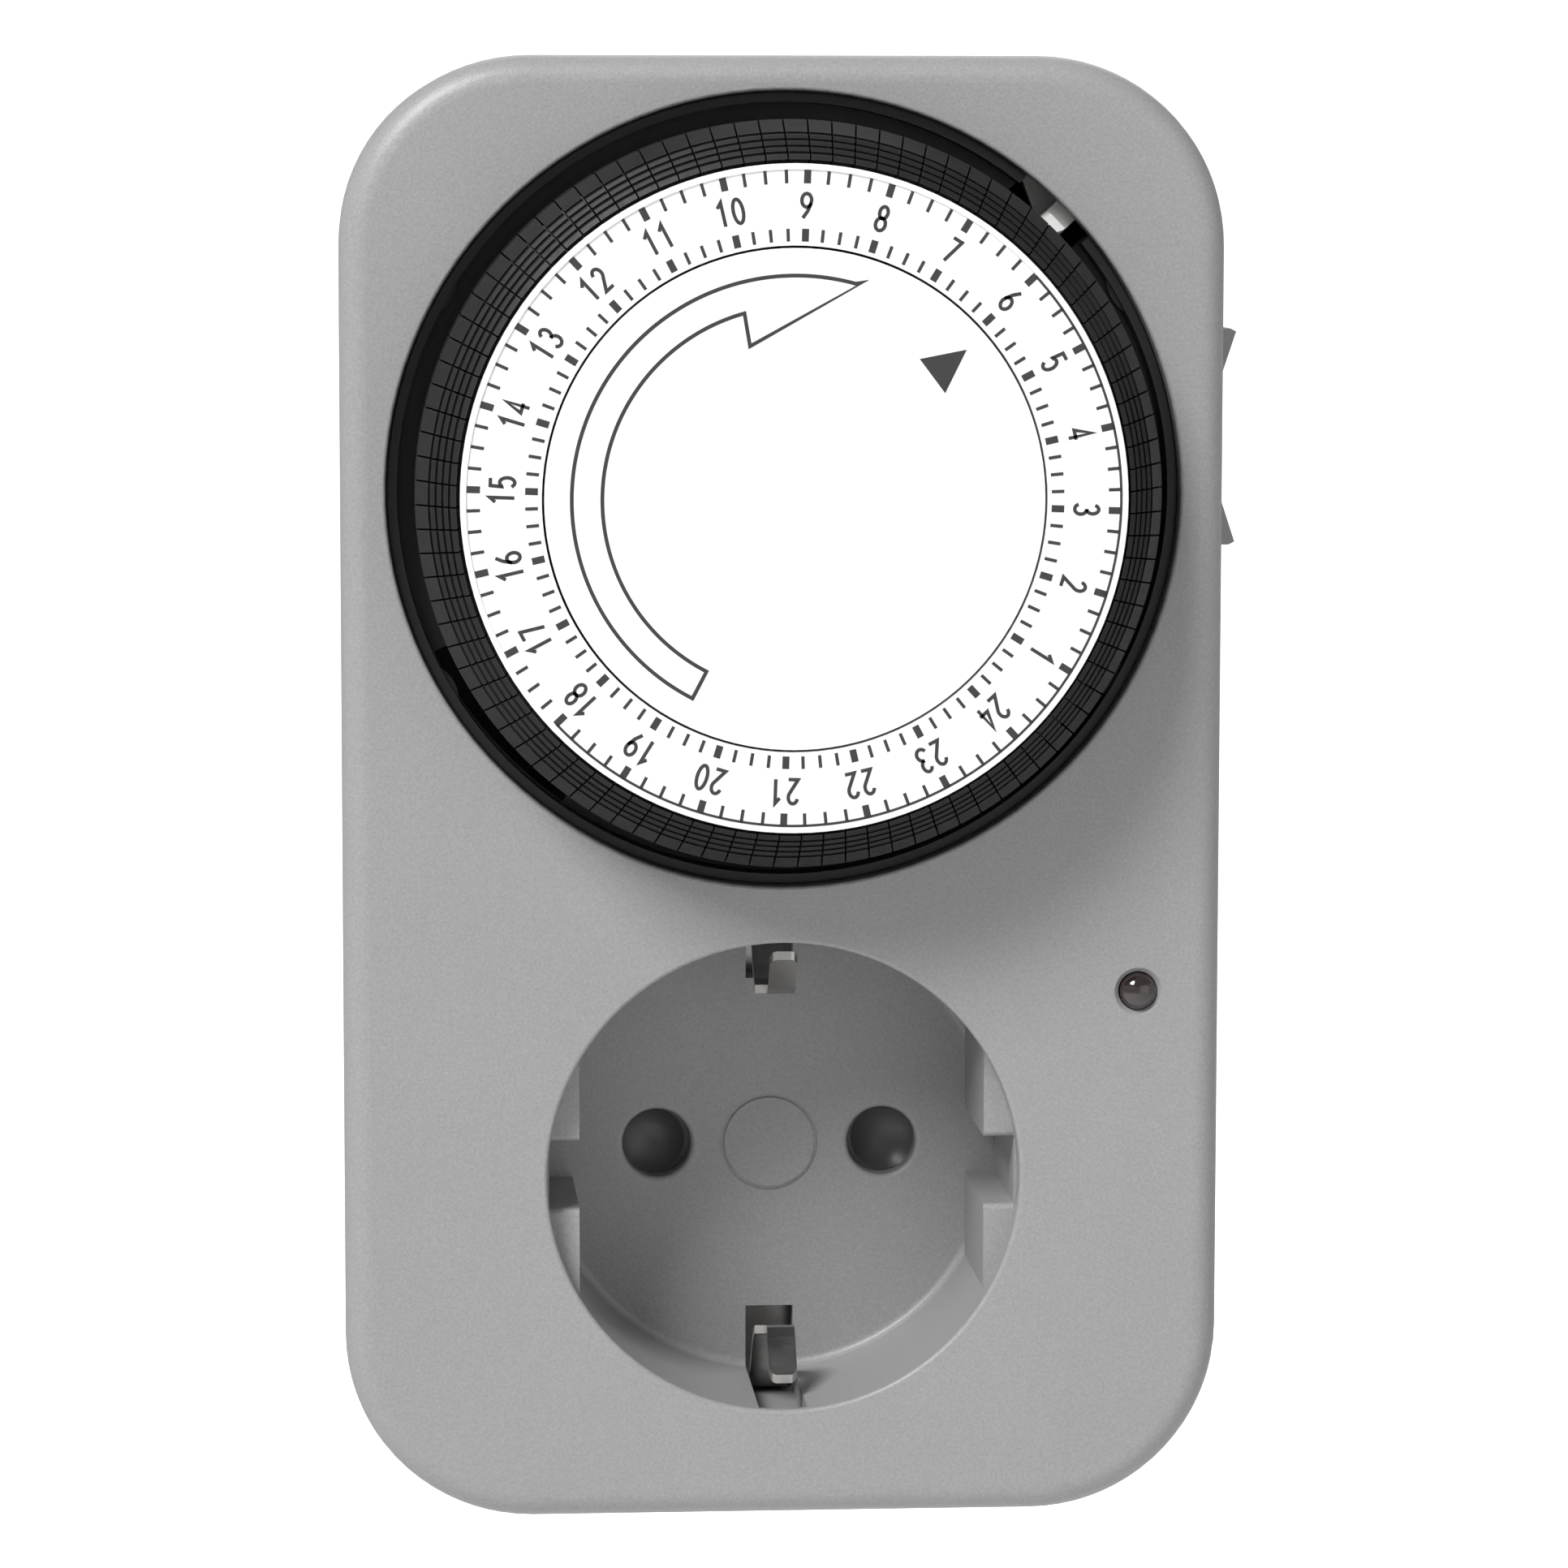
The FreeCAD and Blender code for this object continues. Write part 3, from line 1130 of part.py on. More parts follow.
def make_follower():
    """White lever whose nose stands in the gap beside the tappets."""
    lever = Moulding("follower_lever", 0, dial_z)
    pivot = (mm.lever_pivot_x, mm.lever_pivot_z)
    nose = polar(mm.nose_reach + 2.2, mm.follower_angle)
    half = mm.lever_width / 2
    press_z = plunger_top - dial_z + mm.seat_gap
    arm_end_x = plunger_x - 2
    span = (lever_front, lever_back)
    lever.pad([circle(*pivot, 2.6)], *span)
    lever.pad([polygon([(pivot[0], pivot[1] - half), (pivot[0] + 7.2, pivot[1] - half - 0.4),
                        (nose[0] - 0.8, nose[1] - 1.6), (nose[0] + 1.4, nose[1] + 0.4),
                        (pivot[0] + 9.0, pivot[1] + 0.8), (pivot[0], pivot[1] + half)])], *span)
    lever.pad([polygon([(arm_end_x, press_z), (plunger_x + 2, press_z), (pivot[0], pivot[1] - half),
                        (pivot[0], pivot[1] + half), (arm_end_x, press_z + mm.lever_width)])], *span)
    angle = mm.follower_angle
    reach = mm.nose_reach

    def nose_outline(tip, back, tip_half, back_half):
        return polygon([polar(tip, angle, -tip_half), polar(tip + 0.9, angle, -back_half),
                        polar(back, angle, -back_half), polar(back, angle, back_half),
                        polar(tip + 0.9, angle, back_half), polar(tip, angle, tip_half)])

    nose_base = face + mm.foot_depth + mm.tappet_stroke - 0.1
    nose_front = face + mm.foot_depth + mm.gap
    lever.pad([nose_outline(reach, reach + 3.4, 0.5, 1.05)], nose_base, lever_front + 0.5)
    lever.loft(nose_base, nose_outline(reach, reach + 2.0, 0.5, 1.05),
               nose_front, nose_outline(reach + mm.nose_slope, reach + 1.9, 0.35, 0.8))
    lever.pocket([circle(*pivot, mm.stub_radius + mm.running_gap)], lever_front - 1, lever_back + 1)


def make_switch():
    """Microswitch with its plunger and three terminal blades."""
    high = switch_low_z + mm.switch_height
    depth = (lever_front, lever_front + mm.switch_depth)
    plunger_y = lever_front + mm.lever_thickness / 2
    case = block((switch_left, switch_right), depth, (switch_low_z, high))
    well = rod(mm.plunger_radius + mm.running_gap, plunger_x, plunger_y, (high - 3, high + 1))
    peg_z = switch_low_z + mm.switch_height / 2
    through = (lever_front - 1, lever_front + mm.switch_depth + 1)
    holes = [rod(1.0 + mm.running_gap, switch_left + 3, through, peg_z),
             rod(1.0 + mm.running_gap, switch_right - 3, through, peg_z)]
    keep(cut(case, [well] + holes), "microswitch_body")
    keep(rod(mm.plunger_radius, plunger_x, plunger_y, (high - 1.6, plunger_top)), "microswitch_plunger")
    blades = []
    for x, low in ((switch_left + 3.5, switch_low_z - 1.2), (pin_x, terminal_low), (live_x, terminal_low)):
        blades.append(block((x - 1.6, x + 1.6), (terminal_front, terminal_back), (low, switch_low_z)))
    keep(group(blades), "microswitch_terminals")


# ---------------------------------------------------------------- rocker
def make_rocker():
    """Three-position rocker in the right side, with its frame, pivot and leaf spring."""
    half = mm.rocker_length / 2
    tip = half_width + mm.rocker_proud
    valley = half_width - mm.rocker_valley
    pivot = rocker_pivot_x
    shoulder = pivot + 2
    side = mm.rocker_width / 2
    button = Moulding("rocker_button", 0, rocker_z)
    button.pad([polygon([(tip, -half + 0.25), (valley, 0), (tip, half - 0.25), (tip - 0.5, half),
                         (shoulder, half), (pivot - 1, 3.5), (pivot - 2.2, 1.2), (pivot - 2.2, -1.2),
                         (pivot - 1, -3.5), (shoulder, -half), (tip - 0.5, -half)])],
               rocker_y - side, rocker_y + side)
    button.pocket([circle(pivot, 0, mm.rocker_pin_radius + mm.running_gap)],
                  rocker_y - side - 1, rocker_y + side + 1)

    outer = side + mm.gap + 1
    front_x = half_width - mm.wall - mm.gap
    back_x = pivot - 6.5
    tall = rocker_slot_half + 0.5
    case = block((back_x, front_x), (rocker_y - outer, rocker_y + outer), (rocker_z - tall, rocker_z + tall))
    hollow = block((back_x + 1.2, front_x + 1), (rocker_y - outer + 1, rocker_y + outer - 1),
                   (rocker_z - tall + 1, rocker_z + tall - 1))
    bore = rod(mm.rocker_pin_radius + mm.running_gap / 2, pivot, (rocker_y - outer - 1, rocker_y + outer + 1),
               rocker_z)
    keep(cut(case, [hollow, bore]), "rocker_frame")
    keep(rod(mm.rocker_pin_radius, pivot, (rocker_y - outer, rocker_y + outer), rocker_z), "rocker_pin")
    leaf_x = pivot - 2.2 - mm.gap
    foot_z = half - 2.5
    leaf = [block((leaf_x - 0.5, leaf_x), (rocker_y - 1.5, rocker_y + 1.5),
                  (rocker_z - foot_z, rocker_z + foot_z))]
    for z in (rocker_z - foot_z, rocker_z + foot_z - 0.5):
        leaf.append(block((back_x + 1.2, leaf_x), (rocker_y - 1.5, rocker_y + 1.5), (z, z + 0.5)))
    keep(fuse(leaf), "rocker_spring")
    return back_x


def make_indicator():
    """Domed lens in the front face and the neon lamp behind it."""
    tip = face - mm.lens_proud
    dome_rise = 0.9
    dome = (mm.lens_radius * mm.lens_radius + dome_rise ** 2) / (2 * dome_rise)
    barrel = rod(mm.lens_radius, lamp_x, (tip - 1, inner_face + 0.2), lamp_z)
    inside = fuse([ball(dome, lamp_x, tip + dome, lamp_z),
                   rod(mm.lens_radius + 1, lamp_x, (tip + dome_rise, inner_face + 1), lamp_z)])
    crown = common(barrel, inside)
    flange = rod(lamp_tube_bore - mm.running_gap, lamp_x, (inner_face, inner_face + 1), lamp_z)
    keep(fuse([crown, flange]), "indicator_lens")
    bulb_front = inner_face + 1.3
    bulb_back = bulb_front + 9
    bulb = fuse([rod(1.9, lamp_x, (bulb_front + 1.9, bulb_back), lamp_z),
                 ball(1.9, lamp_x, bulb_front + 1.9, lamp_z)])
    keep(bulb, "neon_lamp")
    return bulb_back


# ---------------------------------------------------------------- insulated leads
def lead_solid(points, radius):
    """A tube of straight runs joined by tangent arcs through a list of points."""
    route = [FreeCAD.Vector(*[size_of(value).number for value in point]) for point in points]
    edges = []
    start = route[0]
    for i in range(1, len(route) - 1):
        back = route[i - 1].sub(route[i])
        ahead = route[i + 1].sub(route[i])
        shorter = min(back.Length, ahead.Length)
        back.normalize()
        ahead.normalize()
        trim = 0.45 * shorter
        first = route[i].add(back * trim)
        last = route[i].add(ahead * trim)
        inward = back.add(ahead)
        inward.normalize()
        half_turn = (math.pi - back.getAngle(ahead)) / 2
        bend = trim / math.tan(half_turn)
        middle = route[i].add(inward * (math.hypot(bend, trim) - bend))
        edges.append(Part.LineSegment(start, first).toShape())
        edges.append(Part.Arc(first, middle, last).toShape())
        start = last
    edges.append(Part.LineSegment(start, route[-1]).toShape())
    path = Part.Wire(edges)
    section = Part.Wire(Part.makeCircle(radius, route[0], route[1].sub(route[0])))
    tube = path.makePipeShell([section], True, False)
    wanted = math.pi * radius ** 2 * path.Length
    if abs(tube.Volume - wanted) > 0.01 * wanted:
        raise RuntimeError("a lead's volume is not its section times its length")
    return tube


def make_leads(label, routes):
    """Several insulated leads kept in one node."""
    item = doc.addObject("Part::Feature", label)
    item.Shape = Part.makeCompound([lead_solid(route, mm.lead_radius.number) for route in routes])
    item.Placement = FreeCAD.Placement()
    keep(item, label)


def make_all_leads(rocker_back, lamp_back):
    """Leads of the motor, the lamp and the rocker."""
    motor_low = dial_z + mm.motor_z - mm.motor_radius
    mid = motor_back - 4
    behind_well = feeder_front - 3
    neutral_z = mm.sleeve_radius + mm.lead_radius + 0.4
    make_leads("motor_leads", [
        [(mm.motor_x - 3, mid, motor_low + 0.1), (mm.motor_x - 3, mid, motor_low - 6),
         (-pin_x, feeder_front + 1, motor_low - 14), (-pin_x, feeder_front + 1.5, 10),
         (-pin_x, sleeve_back - 5, neutral_z), (-pin_x, sleeve_back, neutral_z)],
        [(mm.motor_x + 3, mid, motor_low + 0.1), (mm.motor_x + 3, mid, motor_low - 6),
         (live_x, mid + 1, motor_low - 9), (live_x, busbar_front, motor_low - 9)],
    ])
    make_leads("lamp_leads", [
        [(lamp_x - 0.9, lamp_back + 0.02, lamp_z), (lamp_x - 0.9, lamp_back + 6, lamp_z),
         (live_x + 5, behind_well - 1, lamp_z + 9), (pin_x, behind_well - 1.5, lamp_z + 10),
         (pin_x, feeder_front, lamp_z + 10)],
        [(lamp_x + 0.9, lamp_back + 0.02, lamp_z), (lamp_x + 0.9, lamp_back + 6, lamp_z),
         (lamp_x - 3, behind_well, -12), (14, feeder_front, -20), (-4, feeder_front + 1, -20),
         (-pin_x, feeder_front + 2, -9), (-pin_x, sleeve_back - 4, -neutral_z),
         (-pin_x, sleeve_back, -neutral_z)],
    ])
    make_leads("switch_leads", [
        [(rocker_back, rocker_y, rocker_z + 4), (rocker_back - 5, rocker_y, rocker_z + 4),
         (live_x, rocker_y + 7, rocker_z + 2), (live_x, busbar_front, rocker_z + 2)],
        [(rocker_back, rocker_y, rocker_z - 4), (rocker_back - 4.5, rocker_y, rocker_z - 4),
         (live_x + 2, rocker_y + 4, dial_z - 14), (pin_x, rocker_y + 6, dial_z - 22),
         (pin_x, feeder_front, dial_z - 22)],
    ])


# ---------------------------------------------------------------- build everything
make_front_housing()
make_rear_housing()
make_housing_screws()
make_plug_pin("plug_pin_live", pin_x, -mm.plug_face - mm.strip - 1.2)
make_plug_pin("plug_pin_neutral", -pin_x, pillar_top)
make_contacts()
make_earth_bracket()
make_shutter()
make_clock_spring("shutter_spring", size_of(0), shutter_back + 0.5, size_of(0), 1.75, 0.2, 2, 1.2, 20)
fixing_ears = make_dial_carrier()
make_dial_gear()
make_dial_ring()
make_tappets()
make_pinion()
make_motor(fixing_ears)
make_follower()
make_clock_spring("follower_spring", mm.lever_pivot_x, lever_back + 0.5, dial_z + mm.lever_pivot_z,
                  1.55, 0.2, 2, 2.0, 90)
make_switch()
rocker_back_x = make_rocker()
lamp_back_y = make_indicator()
make_all_leads(rocker_back_x, lamp_back_y)
doc.recompute()

# ---------------------------------------------------------------- check and write
faults = []
for item in doc.Objects:
    if "Invalid" in item.State or "Error" in item.State:
        faults.append(f"{item.Label}: {item.State}")
for item in pieces:
    if item.Shape.isNull() or not item.Shape.isValid() or not item.Shape.Solids:
        faults.append(f"{item.Label}: no valid solid")
if faults:
    raise RuntimeError("; ".join(faults))

os.makedirs("parts", exist_ok=True)
for item in pieces:
    item.Shape.exportStep(os.path.join("parts", f"{item.Label}.step"))
    box = item.Shape.BoundBox
    print(f"{item.Label:26s} {len(item.Shape.Solids):2d} solids {item.Shape.Volume:9.1f} mm3  "
          f"X {box.XMin:6.1f} {box.XMax:6.1f}  Y {box.YMin:6.1f} {box.YMax:6.1f}  "
          f"Z {box.ZMin:6.1f} {box.ZMax:6.1f}")
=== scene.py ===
# %% [markdown]
# # A plug-in day timer
#
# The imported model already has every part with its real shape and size. This lesson adds
# what the eye sees: the plastics and metals, the printing on the dial, light and a camera.

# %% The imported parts
import json
import math

import bmesh
import bpy
from mathutils import Matrix, Vector


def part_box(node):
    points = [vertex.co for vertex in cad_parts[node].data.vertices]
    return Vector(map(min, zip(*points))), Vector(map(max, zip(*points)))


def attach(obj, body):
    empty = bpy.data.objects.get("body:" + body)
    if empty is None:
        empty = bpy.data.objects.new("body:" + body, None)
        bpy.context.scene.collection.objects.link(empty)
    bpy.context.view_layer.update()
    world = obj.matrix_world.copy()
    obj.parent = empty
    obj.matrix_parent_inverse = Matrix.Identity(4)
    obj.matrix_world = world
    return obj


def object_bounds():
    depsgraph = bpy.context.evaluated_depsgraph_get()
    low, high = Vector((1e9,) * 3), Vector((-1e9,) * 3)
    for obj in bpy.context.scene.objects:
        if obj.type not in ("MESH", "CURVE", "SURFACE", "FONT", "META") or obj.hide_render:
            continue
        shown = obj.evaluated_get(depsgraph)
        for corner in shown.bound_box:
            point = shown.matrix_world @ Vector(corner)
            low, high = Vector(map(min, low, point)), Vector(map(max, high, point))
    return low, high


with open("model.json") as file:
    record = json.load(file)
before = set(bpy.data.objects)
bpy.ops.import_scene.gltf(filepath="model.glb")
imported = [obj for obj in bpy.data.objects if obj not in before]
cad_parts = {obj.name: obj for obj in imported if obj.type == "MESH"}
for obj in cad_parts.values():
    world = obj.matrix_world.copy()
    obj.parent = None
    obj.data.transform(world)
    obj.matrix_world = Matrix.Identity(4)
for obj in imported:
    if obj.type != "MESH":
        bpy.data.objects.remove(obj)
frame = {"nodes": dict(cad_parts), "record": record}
cad_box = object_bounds()
nodes = frame["nodes"]
print(len(nodes), "parts", [round(1000 * size, 1) for size in cad_box[1] - cad_box[0]], "mm")

# %% [markdown]
# ## Shader maths in Python
#
# A finish is mostly sums: a base colour, a little more here, a little less there. A small
# class holds a socket and turns Python's own + and * into Math nodes, so that a finish
# reads like a formula.

# %% A socket that can be calculated with
MM = 0.001


class Value:
    """One float socket of a material; arithmetic on it adds Math nodes."""

    def __init__(self, paint, socket):
        self.paint = paint
        self.socket = socket

    def math(self, operation, first, second):
        return self.paint.node("ShaderNodeMath", {"operation": operation}, {0: first, 1: second})

    def __add__(self, other):
        return self.math("ADD", self, other)

    def __mul__(self, other):
        return self.math("MULTIPLY", self, other)

    __radd__ = __add__
    __rmul__ = __mul__


# %% [markdown]
# Every other node is made by one method: its type, its settings, then what goes into its
# sockets. The same class finishes the material with one Principled shader.

# %% A paint box
class Paint:
    """A material under construction."""

    def __init__(self, name):
        self.material = bpy.data.materials.new(name)
        self.material.use_nodes = True
        self.tree = self.material.node_tree
        self.shader = self.tree.nodes["Principled BSDF"]
        self.place = self.node("ShaderNodeTexCoord", {}, {}, "Object")

    def node(self, kind, settings, inputs, output=0):
        made = self.tree.nodes.new(kind)
        for name, value in settings.items():
            if name == "stops":
                ramp = made.color_ramp.elements
                while len(ramp) < len(value):
                    ramp.new(0.5)
                for stop, (position, level) in zip(ramp, value):
                    stop.position = position
                    stop.color = (level, level, level, 1)
            else:
                setattr(made, name, value)
        for name, value in inputs.items():
            self.feed(made.inputs[name], value)
        return Value(self, made.outputs[output])

    def feed(self, socket, value):
        if isinstance(value, Value):
            self.tree.links.new(value.socket, socket)
        else:
            socket.default_value = value

    def noise(self, feature, detail=2.0, place=None):
        """Noise from 0 to 1 whose blobs are about one feature across, in metres."""
        return self.node("ShaderNodeTexNoise", {},
                         {"Vector": place or self.place, "Scale": 1 / feature, "Detail": detail})

    def stretched(self, along):
        """Object coordinates squeezed along one axis, for brushed or drawn metal."""
        scale = [1.0, 1.0, 1.0]
        scale["XYZ".index(along)] = 0.04
        return self.node("ShaderNodeMapping", {}, {"Vector": self.place, "Scale": scale})

    def steps(self, value, stops):
        """A value passed through a ramp of (position, level) stops."""
        return self.node("ShaderNodeValToRGB", {"stops": stops}, {"Fac": value})

    def mix(self, amount, first, second):
        """Two colours mixed by an amount."""
        made = self.tree.nodes.new("ShaderNodeMix")
        made.data_type = "RGBA"
        colours = [socket for socket in made.inputs if socket.type == "RGBA"]
        self.feed(made.inputs["Factor"], amount)
        self.feed(colours[0], first)
        self.feed(colours[1], second)
        return Value(self, next(socket for socket in made.outputs if socket.type == "RGBA"))

    def edges(self, width):
        """1 on sharp edges and 0 elsewhere, from how rounded normals turn."""
        bevel = self.node("ShaderNodeBevel", {"samples": 4}, {"Radius": width})
        flat = self.node("ShaderNodeNewGeometry", {}, {}, "Normal")
        turn = self.node("ShaderNodeVectorMath", {"operation": "DOT_PRODUCT"}, {0: bevel, 1: flat}, "Value")
        return self.steps(turn, [(0.82, 1.0), (0.99, 0.0)])

    def finish(self, colour, roughness, bump=None, bump_depth=0.0, **fixed):
        """Feeds the shader and returns the material."""
        self.feed(self.shader.inputs["Base Color"], colour)
        self.feed(self.shader.inputs["Roughness"], roughness)
        if bump is not None:
            normal = self.node("ShaderNodeBump", {},
                               {"Height": bump, "Distance": bump_depth, "Strength": 1.0})
            self.feed(self.shader.inputs["Normal"], normal)
        for name, value in fixed.items():
            self.shader.inputs[name.replace("_", " ")].default_value = value
        return self.material


def grey(level):
    """A neutral colour."""
    return (level, level, level, 1)


# %% [markdown]
# ## The plastics
#
# The shells are moulded in a spark-eroded tool, which leaves a fine matt grain that
# glitters a little where light grazes it. Noise at a fifth of a millimetre drives bump,
# colour and roughness together, as the real grain does.

# %% Grained grey shell plastic
def grained_plastic(name, level, grain=0.22 * MM, depth=0.030 * MM):
    paint = Paint(name)
    fine = paint.noise(grain, 3.0)
    cloud = paint.noise(14 * MM, 2.0)
    scuff = paint.steps(paint.noise(2.5 * MM, 6.0), [(0.60, 0.0), (0.75, 1.0)])
    colour = paint.mix(fine * 0.85 + cloud * 0.15, grey(level * 0.74), grey(level * 1.26))
    rough = 0.34 + fine * 0.16 + scuff * 0.05
    return paint.finish(colour, rough, fine, depth, Specular_IOR_Level=0.5)


shell_grey = grained_plastic("shell_grey_plastic", 0.30)
print("made", shell_grey.name)


# %% [markdown]
# Smooth mouldings still have flow marks, a little dust in their roughness and softened
# edges. One recipe serves the white dial, the black tappets and the plastics inside.

# %% Smooth moulded plastics
def moulded_plastic(name, colour, rough=0.35, flow=6 * MM, depth=0.004 * MM, edge=0.0, shine=0.5):
    paint = Paint(name)
    marks = paint.noise(flow, 4.0)
    dust = paint.steps(paint.noise(0.5 * MM, 4.0), [(0.52, 0.0), (0.72, 1.0)])
    darker = [0.90 * part for part in colour] + [1]
    lighter = [min(1.0, 1.06 * part) for part in colour] + [1]
    tint = paint.mix(marks, tuple(darker), tuple(lighter))
    if edge:
        worn = tuple(min(1.0, part + edge) for part in colour) + (1,)
        tint = paint.mix(paint.edges(0.12 * MM), tint, worn)
    return paint.finish(tint, rough + marks * 0.10 + dust * 0.08, marks + dust * 0.15, depth,
                        Specular_IOR_Level=shine)


dial_white = moulded_plastic("dial_white_plastic", (0.90, 0.90, 0.90), 0.30, 9 * MM, 0.001 * MM)
tappet_black = moulded_plastic("tappet_black_plastic", (0.014, 0.014, 0.015), 0.42, 1.6 * MM, 0.006 * MM,
                               edge=0.015, shine=0.25)
tray_black = moulded_plastic("tray_black_plastic", (0.010, 0.010, 0.010), 0.30, 4 * MM, shine=0.35)
lever_white = moulded_plastic("lever_white_plastic", (0.80, 0.80, 0.78), 0.35)
rocker_grey = moulded_plastic("rocker_grey_plastic", (0.30, 0.30, 0.30), 0.36, 3 * MM, edge=0.05)
shutter_grey = moulded_plastic("shutter_grey_plastic", (0.06, 0.06, 0.06), 0.28, 2 * MM)
gear_natural = moulded_plastic("gear_natural_plastic", (0.78, 0.76, 0.68), 0.38)
switch_black = moulded_plastic("switch_black_plastic", (0.03, 0.03, 0.032), 0.45)
sleeve_blue = moulded_plastic("lead_blue_sleeve", (0.03, 0.06, 0.22), 0.42, 1.5 * MM)
ink = moulded_plastic("dial_print_ink", (0.035, 0.035, 0.037), 0.42, 0.6 * MM, 0.0005 * MM)


# %% [markdown]
# ## The metals
#
# Rolled strip and turned pins carry fine lines along the way they were worked. The same
# noise, squeezed along one axis, gives those lines to roughness and bump.

# %% Worked metals
def worked_metal(name, colour, rough, along="Y", tarnish_and_shade=0.25):
    paint = Paint(name)
    lines = paint.noise(0.12 * MM, 3.0, paint.stretched(along))
    # Stain patches darken the metal: real tarnish, and painted shade where the amount is raised.
    stain = paint.steps(paint.noise(3 * MM, 5.0), [(0.45, 0.0), (0.75, 1.0)])
    dull = tuple(0.55 * part for part in colour) + (1,)
    tint = paint.mix(stain * tarnish_and_shade, tuple(colour) + (1,), dull)
    return paint.finish(tint, rough + lines * 0.12 + stain * 0.10, lines, 0.004 * MM, Metallic=1.0)


# The earth springs' metal is painted darker than plated nickel, with heavy tarnish, as painted shade for
# the deep slots they sit in.
nickel = worked_metal("nickel_plated_metal", (0.80, 0.79, 0.77), 0.14)
spring_nickel_painted_shade = worked_metal("earth_spring_metal_painted_shade", (0.50, 0.49, 0.48), 0.12, tarnish_and_shade=0.6)
brass = worked_metal("brass_strip", (0.80, 0.60, 0.27), 0.22, "Z")
steel = worked_metal("zinc_plated_steel", (0.66, 0.66, 0.66), 0.26, "X")


# %% [markdown]
# ## The lamp lens, the neon bulb and the winding
#
# The lens is dark when the lamp is off: a deep, nearly black colour under a polished coat.

# %% Lens, bulb and winding
def dark_lens(name):
    paint = Paint(name)
    swirl = paint.noise(0.8 * MM, 2.0)
    tint = paint.mix(swirl, (0.012, 0.009, 0.009, 1), (0.035, 0.020, 0.020, 1))
    return paint.finish(tint, 0.06 + swirl * 0.05, swirl, 0.001 * MM, Coat_Weight=1.0, Coat_Roughness=0.03)


def bulb_glass(name):
    paint = Paint(name)
    film = paint.noise(1.2 * MM, 3.0)
    tint = paint.mix(film, (0.55, 0.32, 0.20, 1), (0.80, 0.62, 0.50, 1))
    return paint.finish(tint, 0.05 + film * 0.08, film, 0.001 * MM, Coat_Weight=0.8)


def wound_wire(name):
    paint = Paint(name)
    turns = paint.node("ShaderNodeTexWave", {"bands_direction": "Y"},
                       {"Vector": paint.place, "Scale": 900.0})
    patch = paint.noise(2 * MM, 3.0)
    tint = paint.mix(turns * 0.6 + patch * 0.4, (0.20, 0.07, 0.02, 1), (0.62, 0.30, 0.12, 1))
    return paint.finish(tint, 0.35 + patch * 0.2, turns, 0.04 * MM)


lens_dark = dark_lens("lens_dark_plastic")
neon_glass = bulb_glass("neon_bulb_glass")
winding_copper = wound_wire("winding_copper_wire")

# %% [markdown]
# ## Finishes onto the parts
#
# The record names one finish for each part, so a table from finish to material dresses
# the whole assembly.

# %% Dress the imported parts
finishes = {
    "grey_shell": shell_grey, "white_dial": dial_white, "tappet_plastic": tappet_black,
    "black_tray": tray_black, "white_lever": lever_white, "rocker_plastic": rocker_grey,
    "shutter_plastic": shutter_grey, "lens": lens_dark, "nickel": nickel, "brass": brass,
    "steel": steel, "switch_plastic": switch_black, "gear_plastic": gear_natural,
    "winding": winding_copper, "bulb": neon_glass, "lead_sleeve": sleeve_blue,
}
for part in frame["record"]["subparts"]:
    holder = nodes[part["node"]]
    holder.data.materials.clear()
    holder.data.materials.append(finishes[part["material_slot"]])
# The earth bracket takes the darkened metal: painted shade for its slots.
nodes["earth_bracket"].data.materials[0] = spring_nickel_painted_shade

# %% [markdown]
# ## Printing on the dial
#
# The scale has a mark for every quarter of an hour in two rings, thicker on the hour.
# Marks that repeat round a circle are a job for Geometry Nodes: one bar, instanced on the
# points of a circle, turned to point at the middle.

# %% Where the dial is
ring_low, ring_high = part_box("dial_ring")
dial_centre = Vector(((ring_low.x + ring_high.x) / 2, 0, (ring_low.z + ring_high.z) / 2))
dial_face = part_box("centre_plate")[0].y
INK_HEIGHT = 0.02 * MM
NINE_ANGLE = 87.95
HOUR_ANGLE = 15.0
print("dial face at y", round(1000 * dial_face, 2), "mm, centre z", round(1000 * dial_centre.z, 2))


